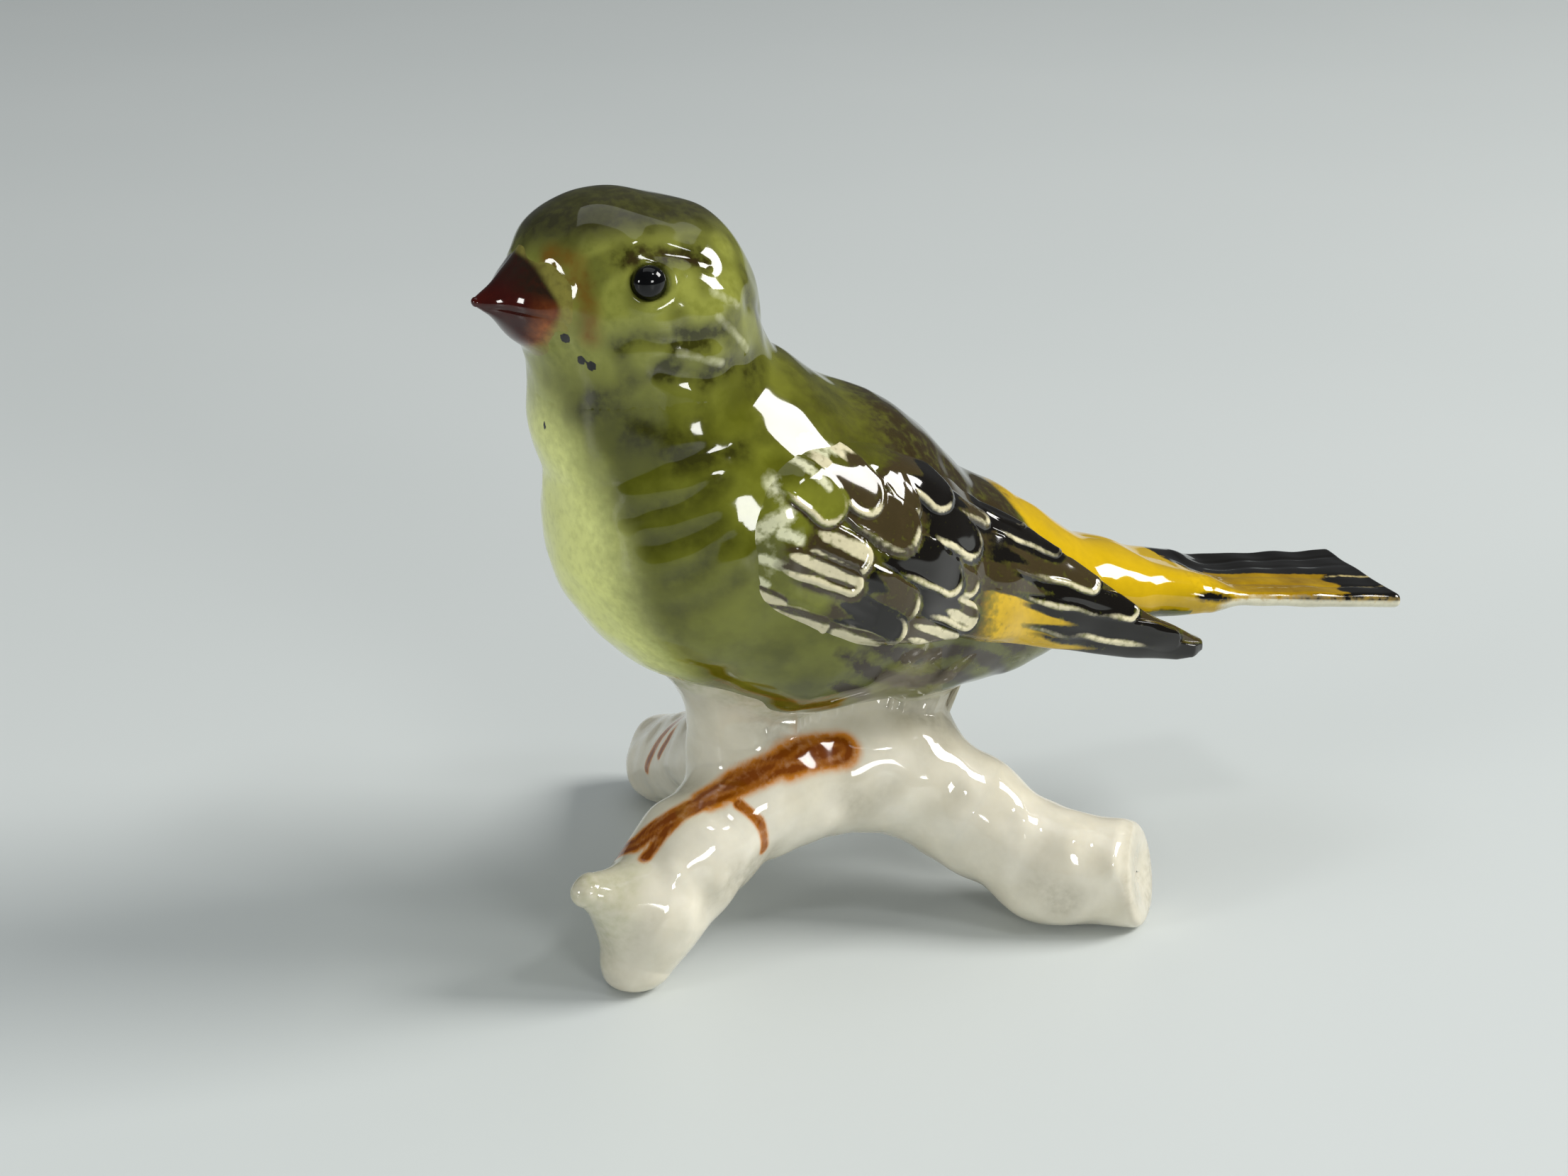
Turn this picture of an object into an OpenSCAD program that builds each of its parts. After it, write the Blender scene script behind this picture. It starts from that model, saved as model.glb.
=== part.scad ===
// Glazed porcelain greenfinch on a three-footed white branch.
// Slip-cast pieces are luted together: a hollow body and head, a beak, two eye beads, two wings,
// a tail, two legs, a trunk and three boughs that stand on flat feet.
// Axes: -X is the beak, +X the tail, -Y the bird's left side, +Z up.
// The origin is on the table, under the middle of the figurine's outer box.

/* [Size] */
// Height of the figurine from the table to the crown of the head
height = 70; // [50:1:100]

/* [Bird] */
// Radius of the breast
breast_r = 14.8; // [14.4:0.1:15.2]
// Radius of the head
head_r = 10.1; // [9.7:0.1:10.5]
// Wall of the hollow body and head
wall = 2.2; // [1.6:0.1:2.8]
// Diameter of an eye bead
eye_d = 2.9; // [2.4:0.1:3.4]
// Thickness of a wing's free blade
wing_t = 1.8; // [1.4:0.1:2.2]
// How far a wing stands proud of the flank
wing_lift = 1; // [0.8:0.1:1.3]
// Width of the tail at its cut end
tail_w = 13.6; // [12:0.2:15]
// Thickness of the tail
tail_t = 1.5; // [1.2:0.1:1.8]

/* [Branch] */
// Radius of the trunk under the belly
trunk_r = 5.5; // [5.2:0.1:5.8]
// Radius of the boughs at their feet
bough_r = 4.6; // [4.4:0.1:4.9]
// Radius of the right bough at its cut end
cut_r = 5; // [4.7:0.1:5.2]
// Bore of the vent that lets the gas out in the kiln
vent_d = 1.2; // [0.8:0.1:1.6]

/* [Surface] */
// Points around each skin
around = 36; // [24:4:44]
// Rings along the body
body_rings = 30; // [20:2:36]

/* [Hidden] */

drawn_h = 70;              // height at which the figurine's points are written
bird_y = -6;               // plane of symmetry of the bird
far = 60;                  // longest ray that looks for a surface
fit_steps = 13;            // halvings of a ray
round_fn = 48;             // facets of turned parts

// Balls of the torso, from breast to rump: [centre, radius]
torso = [
    [[-22.5, bird_y, 40], breast_r], [[-14.4, bird_y, 36], 14.5], [[-4, bird_y, 31.8], 10.6],
    [[4, bird_y, 30], 7.8], [[14, bird_y, 28.5], 4], [[21.5, bird_y, 27.4], 1.7]
];
neck = [[[-28.4, bird_y, 50.5], 10.9], [[-25.4, bird_y, 44], 13.3]];
// The rump widens to the root of the tail: one rod on its left side, mirrored for the right
rump = [[[6, bird_y - 1.5, 29.6], 5.4], [[24, bird_y - 3.4, 27.3], 1.2]];
skull = [-29.5, bird_y, 59.2];
brow = [-33.6, bird_y, 63];
brow_r = head_r - 3.2;
neck_joint = [-28, bird_y, 54.5];
neck_dir = [-0.1, 0, 1];
neck_lap = 3.5;             // how far the body's skin runs on above the neck joint

eye_at = [-31.5, -14.45, 64.1];   // middle of the left eye bead
beak_root = [-34.8, -6.3, 60.6];
beak_tip = [-44.2, -7, 61.9];
beak_high = 5.4;
beak_wide = 6;
beak_taper = 0.85;

// Height of the body's axis against X, and of the wings' axis
spine = [[-40, 48], [-30, 43], [-20, 38.5], [-14, 36], [-4, 32], [4, 30], [14, 28.8], [25, 27]];
wing_axis = [[-27, 41], [-20, 38.5], [-14, 36], [-4, 32.5], [4, 29.8], [14, 26.6], [28, 22.2]];
// Outer radius of the free wing blade against X
blade_r = [[-27, 2], [-6, 6], [0, 8.8], [4, 9.3], [14, 8], [28, 6.4]];
// Lower and upper margin of a wing, as degrees round its axis against X
wing_low = [[-26.8, 1], [-25, -10], [-18, -18], [-4, -15], [4, -17.5], [14, -21], [21, -16], [22.4, -4]];
wing_high = [
    [-26.8, 6], [-25, 22], [-23.3, 35], [-20, 47], [-13, 60], [-1, 60], [4, 56], [7, 47],
    [10.6, 36], [16.8, 14], [19.4, 10], [22.4, 1]
];
wing_rings = 34;
wing_across = 10;

tail_root_x = 18;
tail_end_x = 44.2;
tail_half = [[18, 2.4], [23, 5.4], [tail_end_x, tail_w / 2]];
tail_z = [[18, 28.2], [tail_end_x, 24.7]];

// Limbs of the branch: [centre, radius] along each
trunk_line = [[[-19, -8, 14.5], trunk_r], [[-6, -8, 14], trunk_r]];
saddle_line = [[[-20, -6.6, 18], 3.8], [[-5, -6.4, 17.6], 3.2]];
front_line = [
    [[-19, -8, 14.5], 5.4], [[-27, -11.4, 10.9], 5.1], [[-32.2, -13.3, 6.8], 4.5],
    [[-34, -14, 2.6], bough_r - 1.4]
];
right_line = [
    [[-6, -8, 13.6], 5.4], [[-0.6, -11, 9.8], 5], [[6, -16, 5.2], cut_r], [[13.5, -19.4, 4.5], cut_r]
];
back_line = [[[-17, -4, 14.5], 4.9], [[-18.2, 8, 10.2], 4.3], [[-19.3, 20, 4.3], bough_r]];
twig_line = [[[-33.5, -14.3, 8], 3.6], [[-38.3, -15, 10.8], 1.6]];

// Joints of the boughs with the trunk: [point, outward direction]
front_joint = [[-25.5, -10.7, 11.6], [-0.86, -0.36, -0.37]];
right_joint = [[-0.4, -11, 9.7], [0.72, -0.48, -0.5]];
back_joint = [[-17.7, 2, 12.4], [-0.08, 0.94, -0.33]];
twig_joint = [[-36.6, -14.8, 9.7], [-0.83, -0.1, 0.55]];
right_cut = [[13.6, -19.5, 4.5], [0.76, -0.61, 0.2]];
back_cut = [[-22.6, 20, 7.2], [-0.82, 0.25, 0.52]];
dish_ball = 6.5;           // ball that hollows the cut end
dish_deep = 0.5;

// Vent: from the body's hollow down the rear leg, through the trunk and out of the right bough
vent_line = [
    [-3.4, -6.4, 26], [-3.4, -6.4, 14], [0, -11.4, 9.4], [6, -16, 5.3], [11, -18.3, 4.5], [15, -19.9, 4.5]
];
knee_wide = 1.5;           // width of a knee of the vent over its bore
pinhole_run = 4;
pinhole_d = 0.6;

left_leg_at = [-21.2, -7];
right_leg_at = [-3.4, -6.4];
// Radius of a leg at its base, its waist and its flare
left_leg_r = [4.6, 4.3, 6.2];
right_leg_r = [3.6, 2.2, 4];
leg_base_z = 15.5;
leg_waist_z = 20;
leg_top_z = 26;
leg_step = 0.75;

// How wide a valley is filled where two forms meet
torso_fill = 2;
neck_fill = 3;
brow_fill = 3;
head_fill = 2.5;
limb_fill = 2;
fork_fill = 2.5;
wing_fill = 1.5;

// How the skins are sampled
body_from_x = -38.8;
body_to_x = 24.7;
hollow_from_x = -35.8;
hollow_to_x = 6;
hollow_rings = 14;
head_skirt = 9;            // how far the head's skin runs on below its middle, past the neck joint
head_sweep = 140;
head_rings = 16;
limb_around = 28;
limb_rings_n = 9;
limb_reach = 9;
tip_rings = 4;
tip_sweep = 84;
bend_run = 2.5;            // half of the run that a limb's direction is averaged over
first_ring = 2;            // angle of the first ring about a pole
trunk_rings = 16;
trunk_sweep = 176;
trunk_reach = 18;
trunk_middle = [-12.5, -8, 14];
tail_around = 20;
beak_around = 28;
beak_rings = 8;
beak_end = 0.97;           // the beak's tip is blunt
wing_tip_x = 22.4;

// ---- Fields: a surface is where its distance is nought, and inside is negative ----

// Union of two distances, with the valley between them rounded over k
function blend(a, b, k) = min(a, b) - pow(max(k - abs(a - b), 0), 2) / (4 * k);

// Distance to a tapered rod between two balls
function rod_field(p, ball, next) =
    let (
        run = next[0] - ball[0],
        t = min(max((p - ball[0]) * run / (run * run), 0), 1)
    )
    norm(p - ball[0] - t * run) - ball[1] - t * (next[1] - ball[1]);

// Distance to a chain of rods, from rod i to its end
function chain_field(p, balls, k, i = 0) =
    i == len(balls) - 2
        ? rod_field(p, balls[i], balls[i + 1])
        : blend(rod_field(p, balls[i], balls[i + 1]), chain_field(p, balls, k, i + 1), k);

function ball_field(p, centre, r) = norm(p - centre) - r;

// The same point on the bird's left side
function to_left(p) = [p[0], bird_y - abs(p[1] - bird_y), p[2]];

function bird_field(p) =
    blend(
        blend(
            blend(chain_field(p, torso, torso_fill), rod_field(to_left(p), rump[0], rump[1]), torso_fill),
            rod_field(p, neck[0], neck[1]), neck_fill
        ),
        blend(ball_field(p, skull, head_r), ball_field(p, brow, brow_r), brow_fill),
        head_fill
    );

function limb_field(p, line) = chain_field(p, line, limb_fill);

function branch_field(p) =
    blend(
        blend(
            blend(limb_field(p, trunk_line), limb_field(p, front_line), fork_fill),
            blend(limb_field(p, saddle_line), limb_field(p, right_line), fork_fill), fork_fill
        ),
        blend(limb_field(p, back_line), limb_field(p, twig_line), fork_fill),
        fork_fill
    );

// How far a ray runs from a point inside a field before it leaves, found by halving
function reach(field, from, dir, low, high, n = fit_steps) =
    let (mid = (low + high) / 2)
    n == 0
        ? mid
        : field(from + mid * dir) < 0
            ? reach(field, from, dir, mid, high, n - 1)
            : reach(field, from, dir, low, mid, n - 1);

function unit(v) = v / norm(v);

// Stations from a to b that crowd together at both ends
function eased(a, b, n) = [for (i = [0:n]) a + (b - a) * (1 - cos(180 * i / n)) / 2];

function middle(ring) = [for (p = ring) 1] * ring / len(ring);

// ---- Rings ----

// Ring of the bird's skin at X, a depth under its surface
function body_ring(x, depth) =
    let (from = [x, bird_y, lookup(x, spine)], top = neck_joint[2] + neck_lap - from[2])
    [
        for (j = [0:around - 1])
        let (turn = 360 * j / around, dir = [0, -cos(turn), sin(turn)])
        from + dir * reach(
            function (p) bird_field(p) + depth, from, dir, 0,
            dir[2] > 0 ? min(far, top / dir[2]) : far
        )
    ];

// Ring of the head's skin at an angle from its pole, a depth under its surface
function head_ring(polar, depth) =
    [
        for (j = [0:around - 1])
        let (
            turn = 360 * j / around,
            dir = [sin(polar) * cos(turn), sin(polar) * sin(turn), cos(polar)]
        )
        skull + dir * reach(
            function (p) bird_field(p) + depth, skull, dir, 0,
            dir[2] < 0 ? min(far, head_skirt / -dir[2]) : far
        )
    ];

// Point at a run along a line of balls, carried on past its end
function along(line, run, i = 0) =
    let (step = line[i + 1][0] - line[i][0])
    run <= norm(step) || i == len(line) - 2
        ? line[i][0] + unit(step) * run
        : along(line, run - norm(step), i + 1);

function line_length(line, i = 0) =
    i == len(line) - 1 ? 0 : norm(line[i + 1][0] - line[i][0]) + line_length(line, i + 1);

// Ring round a limb, square to dir
function limb_ring(at, dir) =
    let (side = unit(cross(dir, [0, 0, 1])), up = cross(side, dir))
    [
        for (j = [0:limb_around - 1])
        let (ray = side * cos(360 * j / limb_around) + up * sin(360 * j / limb_around))
        at + ray * reach(function (p) branch_field(p), at, ray, 0, limb_reach)
    ];

// Rings from a joint to the end of a limb's last ball
function limb_rings(line, joint, tip_r) =
    let (rest = concat([[joint[0], 0]], line), full = line_length(rest))
    [
        for (run = concat([0], [for (i = [1:limb_rings_n]) full * i / limb_rings_n],
            [for (i = [1:tip_rings]) full + tip_r * sin(tip_sweep * i / tip_rings)]))
        let (chord = along(rest, run + bend_run) - along(rest, max(0, run - bend_run)))
        limb_ring(along(rest, run), run == 0 ? unit(joint[1]) : unit(chord))
    ];

// Ring of the trunk's skin at an angle from the X axis
function trunk_ring(polar) =
    [
        for (j = [0:around - 1])
        let (
            turn = 360 * j / around,
            dir = [cos(polar), sin(polar) * cos(turn), sin(polar) * sin(turn)]
        )
        trunk_middle
        + dir * reach(function (p) branch_field(p), trunk_middle, dir, 0, trunk_reach)
    ];

// Outer radius of a wing round its own axis
function wing_radius(x, turn) =
    let (from = [x, bird_y, lookup(x, wing_axis)], dir = [0, -cos(turn), sin(turn)])
    -blend(
        -reach(function (p) bird_field(p), from, dir, 0, far / 2) - wing_lift,
        -lookup(x, blade_r), wing_fill
    );

// Ring of the left wing at X: across its outer face, then back across its inner face
function wing_ring(x) =
    let (low = lookup(x, wing_low), high = lookup(x, wing_high))
    [
        for (side = [0, 1], j = [0:wing_across])
        let (
            across = side == 0 ? j / wing_across : 1 - j / wing_across,
            turn = low + (high - low) * across,
            edge = pow(2 * across - 1, 8) * wing_t / 4,
            r = wing_radius(x, turn) - (side == 0 ? edge : wing_t)
        )
        [x, bird_y - r * cos(turn), lookup(x, wing_axis) + r * sin(turn)]
    ];

// Flat oval ring of the tail at X, thinner to its sides
function tail_ring(x) =
    [
        for (j = [0:tail_around - 1])
        let (turn = 360 * j / tail_around, c = cos(turn), s = sin(turn))
        [
            x,
            bird_y - lookup(x, tail_half) * sign(c) * pow(abs(c), 0.6),
            lookup(x, tail_z) + tail_t / 2 * sign(s) * pow(abs(s), 0.8)
        ]
    ];

// Oval ring of the beak, t from root to tip
function beak_ring(t) =
    let (at = beak_root + (beak_tip - beak_root) * t, size = pow(1 - t, beak_taper))
    [
        for (j = [0:beak_around - 1])
        let (turn = 360 * j / beak_around)
        at + [0, beak_wide * size * cos(turn), beak_high * size * sin(turn)]
    ];

// Radius of a leg at Z: wide at its base, a waist, then a flare under the belly
function leg_r(z, radii) =
    radii[1]
    + (radii[0] - radii[1]) * pow(max(0, (leg_waist_z - z) / (leg_waist_z - leg_base_z)), 2)
    + (radii[2] - radii[1]) * pow(max(0, (z - leg_waist_z) / (leg_top_z - leg_waist_z)), 2);

// ---- Solids that the pieces are cut from ----

// A finished piece in its tone, at the figurine's height
module fired(tone) {
    color(tone) scale(height / drawn_h) children();
}

// Closed skin through rings of one size, with a fan over each end
module skin(rings) {
    n = len(rings[0]);
    m = len(rings);
    points = [for (ring = rings) each ring, middle(rings[0]), middle(rings[m - 1])];
    sides = [
        for (i = [0:m - 2], j = [0:n - 1])
        let (a = i * n + j, b = i * n + (j + 1) % n)
        each [[a, b, a + n], [b, b + n, a + n]]
    ];
    ends = [
        for (j = [0:n - 1])
        each [[m * n, (j + 1) % n, j], [m * n + 1, (m - 1) * n + j, (m - 1) * n + (j + 1) % n]]
    ];
    polyhedron(points, concat(sides, ends));
}

// Everything past a joint, on the side its direction points to
module past(joint) {
    dir = unit(joint[1]);
    translate(joint[0])
        rotate([0, acos(dir[2]), atan2(dir[1], dir[0])])
            translate([-far, -far, 0]) cube(2 * far);
}

module bird_skin() {
    skin([for (x = eased(body_from_x, body_to_x, body_rings)) body_ring(x, 0)]);
}

module wing_blank() {
    skin([for (x = eased(wing_low[0][0], wing_tip_x, wing_rings)) wing_ring(x)]);
}

module tail_blank() {
    skin([for (x = [tail_root_x, 20, 22, 26, 32, 38, tail_end_x - 1, tail_end_x]) tail_ring(x)]);
}

module beak_blank() {
    skin([for (i = [0:beak_rings]) beak_ring(beak_end * i / beak_rings)]);
}

module eye_ball(side) {
    translate([0, bird_y, 0])
        mirror([0, side < 0 ? 0 : 1, 0])
            translate(eye_at - [0, bird_y, 0])
                sphere(d = eye_d, $fn = round_fn);
}

module leg_blank(at, radii) {
    translate([at[0], at[1], 0])
        rotate_extrude($fn = round_fn)
            polygon([
                [0, leg_base_z],
                for (z = [leg_base_z:leg_step:leg_top_z]) [leg_r(z, radii), z],
                [0, leg_top_z]
            ]);
}

module left_leg() {
    leg_blank(left_leg_at, left_leg_r);
}

module right_leg() {
    leg_blank(right_leg_at, right_leg_r);
}

module bough_blank(line, joint, tip_r) {
    intersection() {
        skin(limb_rings(line, joint, tip_r));
        translate([-far, -far, 0]) cube(2 * far);
    }
}

// Round rod from a to b
module rod(a, b, d) {
    dir = unit(b - a);
    translate(a)
        rotate([0, acos(dir[2]), atan2(dir[1], dir[0])])
            cylinder(h = norm(b - a), d = d, $fn = round_fn);
}

// Runs i to j of the vent's bore, with wider knees between them and a pinhole for the last
module vent(i, j) {
    for (run = [i:j])
        rod(vent_line[run], vent_line[run + 1], run == pinhole_run ? pinhole_d : vent_d);
    for (knee = [i + 1:1:j])
        translate(vent_line[knee]) sphere(d = vent_d * knee_wide, $fn = round_fn);
}

// ---- Pieces ----

module body() {
    fired("yellowgreen")
        difference() {
            bird_skin();
            skin([for (x = eased(hollow_from_x, hollow_to_x, hollow_rings)) body_ring(x, wall)]);
            past([neck_joint, neck_dir]);
            tail_blank();
            vent(0, 0);
        }
}

module head() {
    fired("olivedrab")
        difference() {
            skin([for (i = [0:head_rings]) head_ring(first_ring + head_sweep * i / head_rings, 0)]);
            skin([
                for (i = [0:hollow_rings])
                head_ring(2 * first_ring + head_sweep * i / hollow_rings, wall)
            ]);
            past([neck_joint, -neck_dir]);
            beak_blank();
            eye_ball(-1);
            eye_ball(1);
        }
}

module beak() {
    fired("saddlebrown") beak_blank();
}

module left_eye() {
    fired("black") eye_ball(-1);
}

module right_eye() {
    fired("black") eye_ball(1);
}

module left_wing() {
    fired("goldenrod")
        difference() {
            wing_blank();
            bird_skin();
        }
}

module right_wing() {
    fired("goldenrod")
        translate([0, bird_y, 0]) mirror([0, 1, 0]) translate([0, -bird_y, 0])
            difference() {
                wing_blank();
                bird_skin();
            }
}

module tail() {
    fired("dimgray") tail_blank();
}

module left_foot() {
    fired("ivory")
        difference() {
            left_leg();
            bird_skin();
        }
}

module right_foot() {
    fired("ivory")
        difference() {
            right_leg();
            bird_skin();
            vent(0, 0);
        }
}

module trunk() {
    fired("ivory")
        difference() {
            skin([for (i = [0:trunk_rings]) trunk_ring(first_ring + trunk_sweep * i / trunk_rings)]);
            past(front_joint);
            past(right_joint);
            past(back_joint);
            bird_skin();
            left_leg();
            right_leg();
            vent(0, 2);
        }
}

module front_bough() {
    fired("ivory")
        difference() {
            bough_blank([for (i = [1:3]) front_line[i]], front_joint, front_line[3][1]);
            past(twig_joint);
        }
}

module twig_stub() {
    fired("ivory") skin(limb_rings([twig_line[1]], twig_joint, twig_line[1][1]));
}

module right_bough() {
    fired("ivory")
        difference() {
            bough_blank([for (i = [2:3]) right_line[i]], right_joint, cut_r);
            past(right_cut);
            // Shallow dish in the cut end
            translate(right_cut[0] + unit(right_cut[1]) * (dish_ball - dish_deep))
                sphere(r = dish_ball, $fn = 2 * round_fn);
            vent(2, 4);
        }
}

module back_bough() {
    fired("ivory")
        difference() {
            bough_blank([for (i = [1:2]) back_line[i]], back_joint, bough_r);
            past(back_cut);
        }
}

body();
head();
beak();
left_eye();
right_eye();
left_wing();
right_wing();
tail();
left_foot();
right_foot();
trunk();
front_bough();
twig_stub();
right_bough();
back_bough();
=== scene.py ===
"""Glazed porcelain greenfinch on a three-footed white branch.

Every piece is a skin over one of two smooth distance fields, the bird's and the branch's. A skin is
a grid of rays that leave a spine and are halved until they meet the field. Lengths are millimetres
until a mesh is made. -X is the beak, +X the tail, -Y the bird's left side and +Z up.
"""
import logging
import math
from dataclasses import dataclass
from enum import Enum
from typing import Callable, Iterable, Sequence

import bpy
import numpy as np
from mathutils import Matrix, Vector


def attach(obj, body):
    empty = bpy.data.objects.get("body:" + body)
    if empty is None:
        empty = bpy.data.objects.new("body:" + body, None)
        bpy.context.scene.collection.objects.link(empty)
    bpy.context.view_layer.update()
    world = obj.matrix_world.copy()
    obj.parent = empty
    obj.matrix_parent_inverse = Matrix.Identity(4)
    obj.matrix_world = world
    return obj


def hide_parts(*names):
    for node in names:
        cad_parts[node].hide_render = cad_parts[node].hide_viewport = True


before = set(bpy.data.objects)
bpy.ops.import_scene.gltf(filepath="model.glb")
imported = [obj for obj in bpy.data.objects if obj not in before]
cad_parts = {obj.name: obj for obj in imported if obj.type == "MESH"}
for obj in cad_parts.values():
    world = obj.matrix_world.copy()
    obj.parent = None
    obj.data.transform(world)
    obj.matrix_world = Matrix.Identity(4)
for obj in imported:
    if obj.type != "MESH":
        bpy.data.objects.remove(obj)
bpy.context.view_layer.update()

Array = np.ndarray
Field = Callable[[Array], Array]
Ball = tuple[float, float, float, float]
Point = tuple[float, float, float]
Line = tuple[Point, ...]
Spot = tuple[Point, float]
Colour = tuple[int, int, int]
Nodes = bpy.types.Nodes
Links = bpy.types.NodeLinks
Socket = bpy.types.NodeSocket

MM = 0.001
BIRD_Y = -6.0                 # the bird's plane of symmetry
SEAM_DIP = 0.008              # how far a skin sinks where it runs under its neighbour
SEAM_HALF = 0.4               # half of the run in which it sinks
SEAM_OVERLAP = 1.2            # how far it runs on under the neighbour
SUNK = 0.2                    # depth of a skin where it is well past a joint
RAY_STEPS = 20                # halvings of a ray
UP: Point = (0.0, 0.0, 1.0)
AHEAD: Point = (1.0, 0.0, 0.0)
ASIDE: Point = (0.0, 1.0, 0.0)

log = logging.getLogger("figurine")


# ---------------------------------------------------------------- numbers

def unit(v: Array) -> Array:
    """Vectors of v at length one."""
    return v / np.maximum(np.linalg.norm(v, axis=-1, keepdims=True), 1e-9)


def step(x: Array, low: float, high: float) -> Array:
    """Smooth step: 0 below low, 1 above high, 3t^2 - 2t^3 between."""
    t = np.clip((x - low) / (high - low), 0.0, 1.0)
    return t * t * (3.0 - 2.0 * t)


def blend(a: Array, b: Array, k: float) -> Array:
    """Union of two distances, with the valley between them filled over k."""
    return np.minimum(a, b) - np.maximum(k - np.abs(a - b), 0.0) ** 2 / (4.0 * k)


def trim(a: Array, b: Array, k: float) -> Array:
    """Part common to two distances, with the edge between them rounded over k."""
    return -blend(-a, -b, k)


def rod(p: Array, a: Ball, b: Ball) -> Array:
    """Distance to a tapered rod: nearest point of its axis, less the radius there."""
    start, run = np.array(a[:3]), np.array(b[:3]) - np.array(a[:3])
    t = np.clip((p - start) @ run / (run @ run), 0.0, 1.0)
    return np.linalg.norm(p - start - t[..., None] * run, axis=-1) - a[3] - t * (b[3] - a[3])


def chain(p: Array, balls: Sequence[Ball], k: float) -> Array:
    """Blended distance to the rods between successive balls."""
    out = rod(p, balls[-2], balls[-1])
    for a, b in zip(balls[-3::-1], balls[-2:0:-1]):
        out = blend(rod(p, a, b), out, k)
    return out


def ball(p: Array, at: Point, r: float) -> Array:
    """Distance to a ball."""
    return np.linalg.norm(p - np.array(at), axis=-1) - r


def to_left(p: Array) -> Array:
    """Points reflected to the bird's left side, so that both sides get the same."""
    out = p.copy()
    out[..., 1] = BIRD_Y - np.abs(p[..., 1] - BIRD_Y)
    return out


def beyond(p: Array, at: Point, direction: Point) -> Array:
    """Height of p over the plane through at, along direction."""
    return (p - np.array(at)) @ unit(np.array(direction))


def stroke(p: Array, points: Sequence[Point], width: float) -> Array:
    """Soft brush stroke: a bell of the distance to a line through points."""
    nearest = np.full(p.shape[:-1], np.inf)
    for a, b in zip(points[:-1], points[1:]):
        nearest = np.minimum(nearest, rod(p, (*a, 0.0), (*b, 0.0)))
    return bell(nearest, width)


def strokes(p: Array, lines: Iterable[Line], width: float) -> Array:
    """Strongest of several brush strokes."""
    return np.maximum.reduce([stroke(p, line, width) for line in lines])


def bell(x: Array, width: float) -> Array:
    """Bell curve exp(-(x / width)^2)."""
    return np.exp(-((x / width) ** 2))


def spot(p: Array, at: Point, width: float) -> Array:
    """Soft round spot: a bell of the distance to a point."""
    return bell(ball(p, at, 0.0), width)


def along_x(x: Array, rows: Sequence[tuple[float, float]]) -> Array:
    """Value against x, straight between a few points."""
    return np.interp(x, *np.array(rows).T)


def table(x: Array, rows: Sequence[tuple[float, float]]) -> Array:
    """Value against x through a few points, eased by averaging three nearby readings."""
    xs, ys = np.array(rows).T
    reach = (xs[-1] - xs[0]) / (4.0 * len(xs))
    return sum(w * np.interp(x + d * reach, xs, ys) for w, d in ((0.25, -1), (0.5, 0), (0.25, 1)))


@dataclass(frozen=True)
class Lumps:
    """Gentle unevenness of a hand-finished surface: a sum of sine waves in seeded directions.

    Attributes:
        size: mean wavelength in mm.
        height: height of the unevenness in mm.
        seed: picks the directions and phases.
        waves: number of waves.
    """
    size: float
    height: float
    seed: int
    waves: int = 14

    def __call__(self, p: Array) -> Array:
        """Height at points p, as the mean of sin(k.p + phase)."""
        rng = np.random.default_rng(self.seed)
        turn = unit(rng.normal(size=(self.waves, 3)))
        k = turn * (2.0 * math.pi / (self.size * rng.uniform(0.7, 1.4, (self.waves, 1))))
        phase = rng.uniform(0.0, 2.0 * math.pi, self.waves)
        out = np.zeros(p.shape[:-1])
        for direction, shift in zip(k, phase):
            out += np.sin(p @ direction + shift)
        return out * self.height * math.sqrt(2.0 / self.waves)


# ---------------------------------------------------------------- surfaces

def slope(f: Field, p: Array, h: float = 0.04) -> Array:
    """Gradient of a field by central differences."""
    offsets = np.eye(3) * h
    return np.stack([(f(p + o) - f(p - o)) / (2.0 * h) for o in offsets], axis=-1)


def cast(f: Field, origin: Array, ray: Array, high: Array) -> Array:
    """Points where rays from inside a field leave it, found by halving.

    Args:
        f: distance field, negative inside.
        origin: start of each ray.
        ray: unit direction of each ray.
        high: longest run of each ray.

    Returns:
        The points, or the ray's end where it never leaves.
    """
    low = np.zeros(ray.shape[:-1])
    high = np.broadcast_to(high, low.shape).copy()
    for _ in range(RAY_STEPS):
        mid = (low + high) / 2.0
        inside = f(origin + ray * mid[..., None]) < 0.0
        low, high = np.where(inside, mid, low), np.where(inside, high, mid)
    return origin + ray * ((low + high) / 2.0)[..., None]


def settle(f: Field, p: Array, steps: int = 5) -> Array:
    """Points moved onto a field's surface by Newton steps p - f g / |g|^2."""
    for _ in range(steps):
        g = slope(f, p)
        p = p - (f(p) / np.maximum((g * g).sum(-1), 0.05))[..., None] * g
    return p


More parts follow.
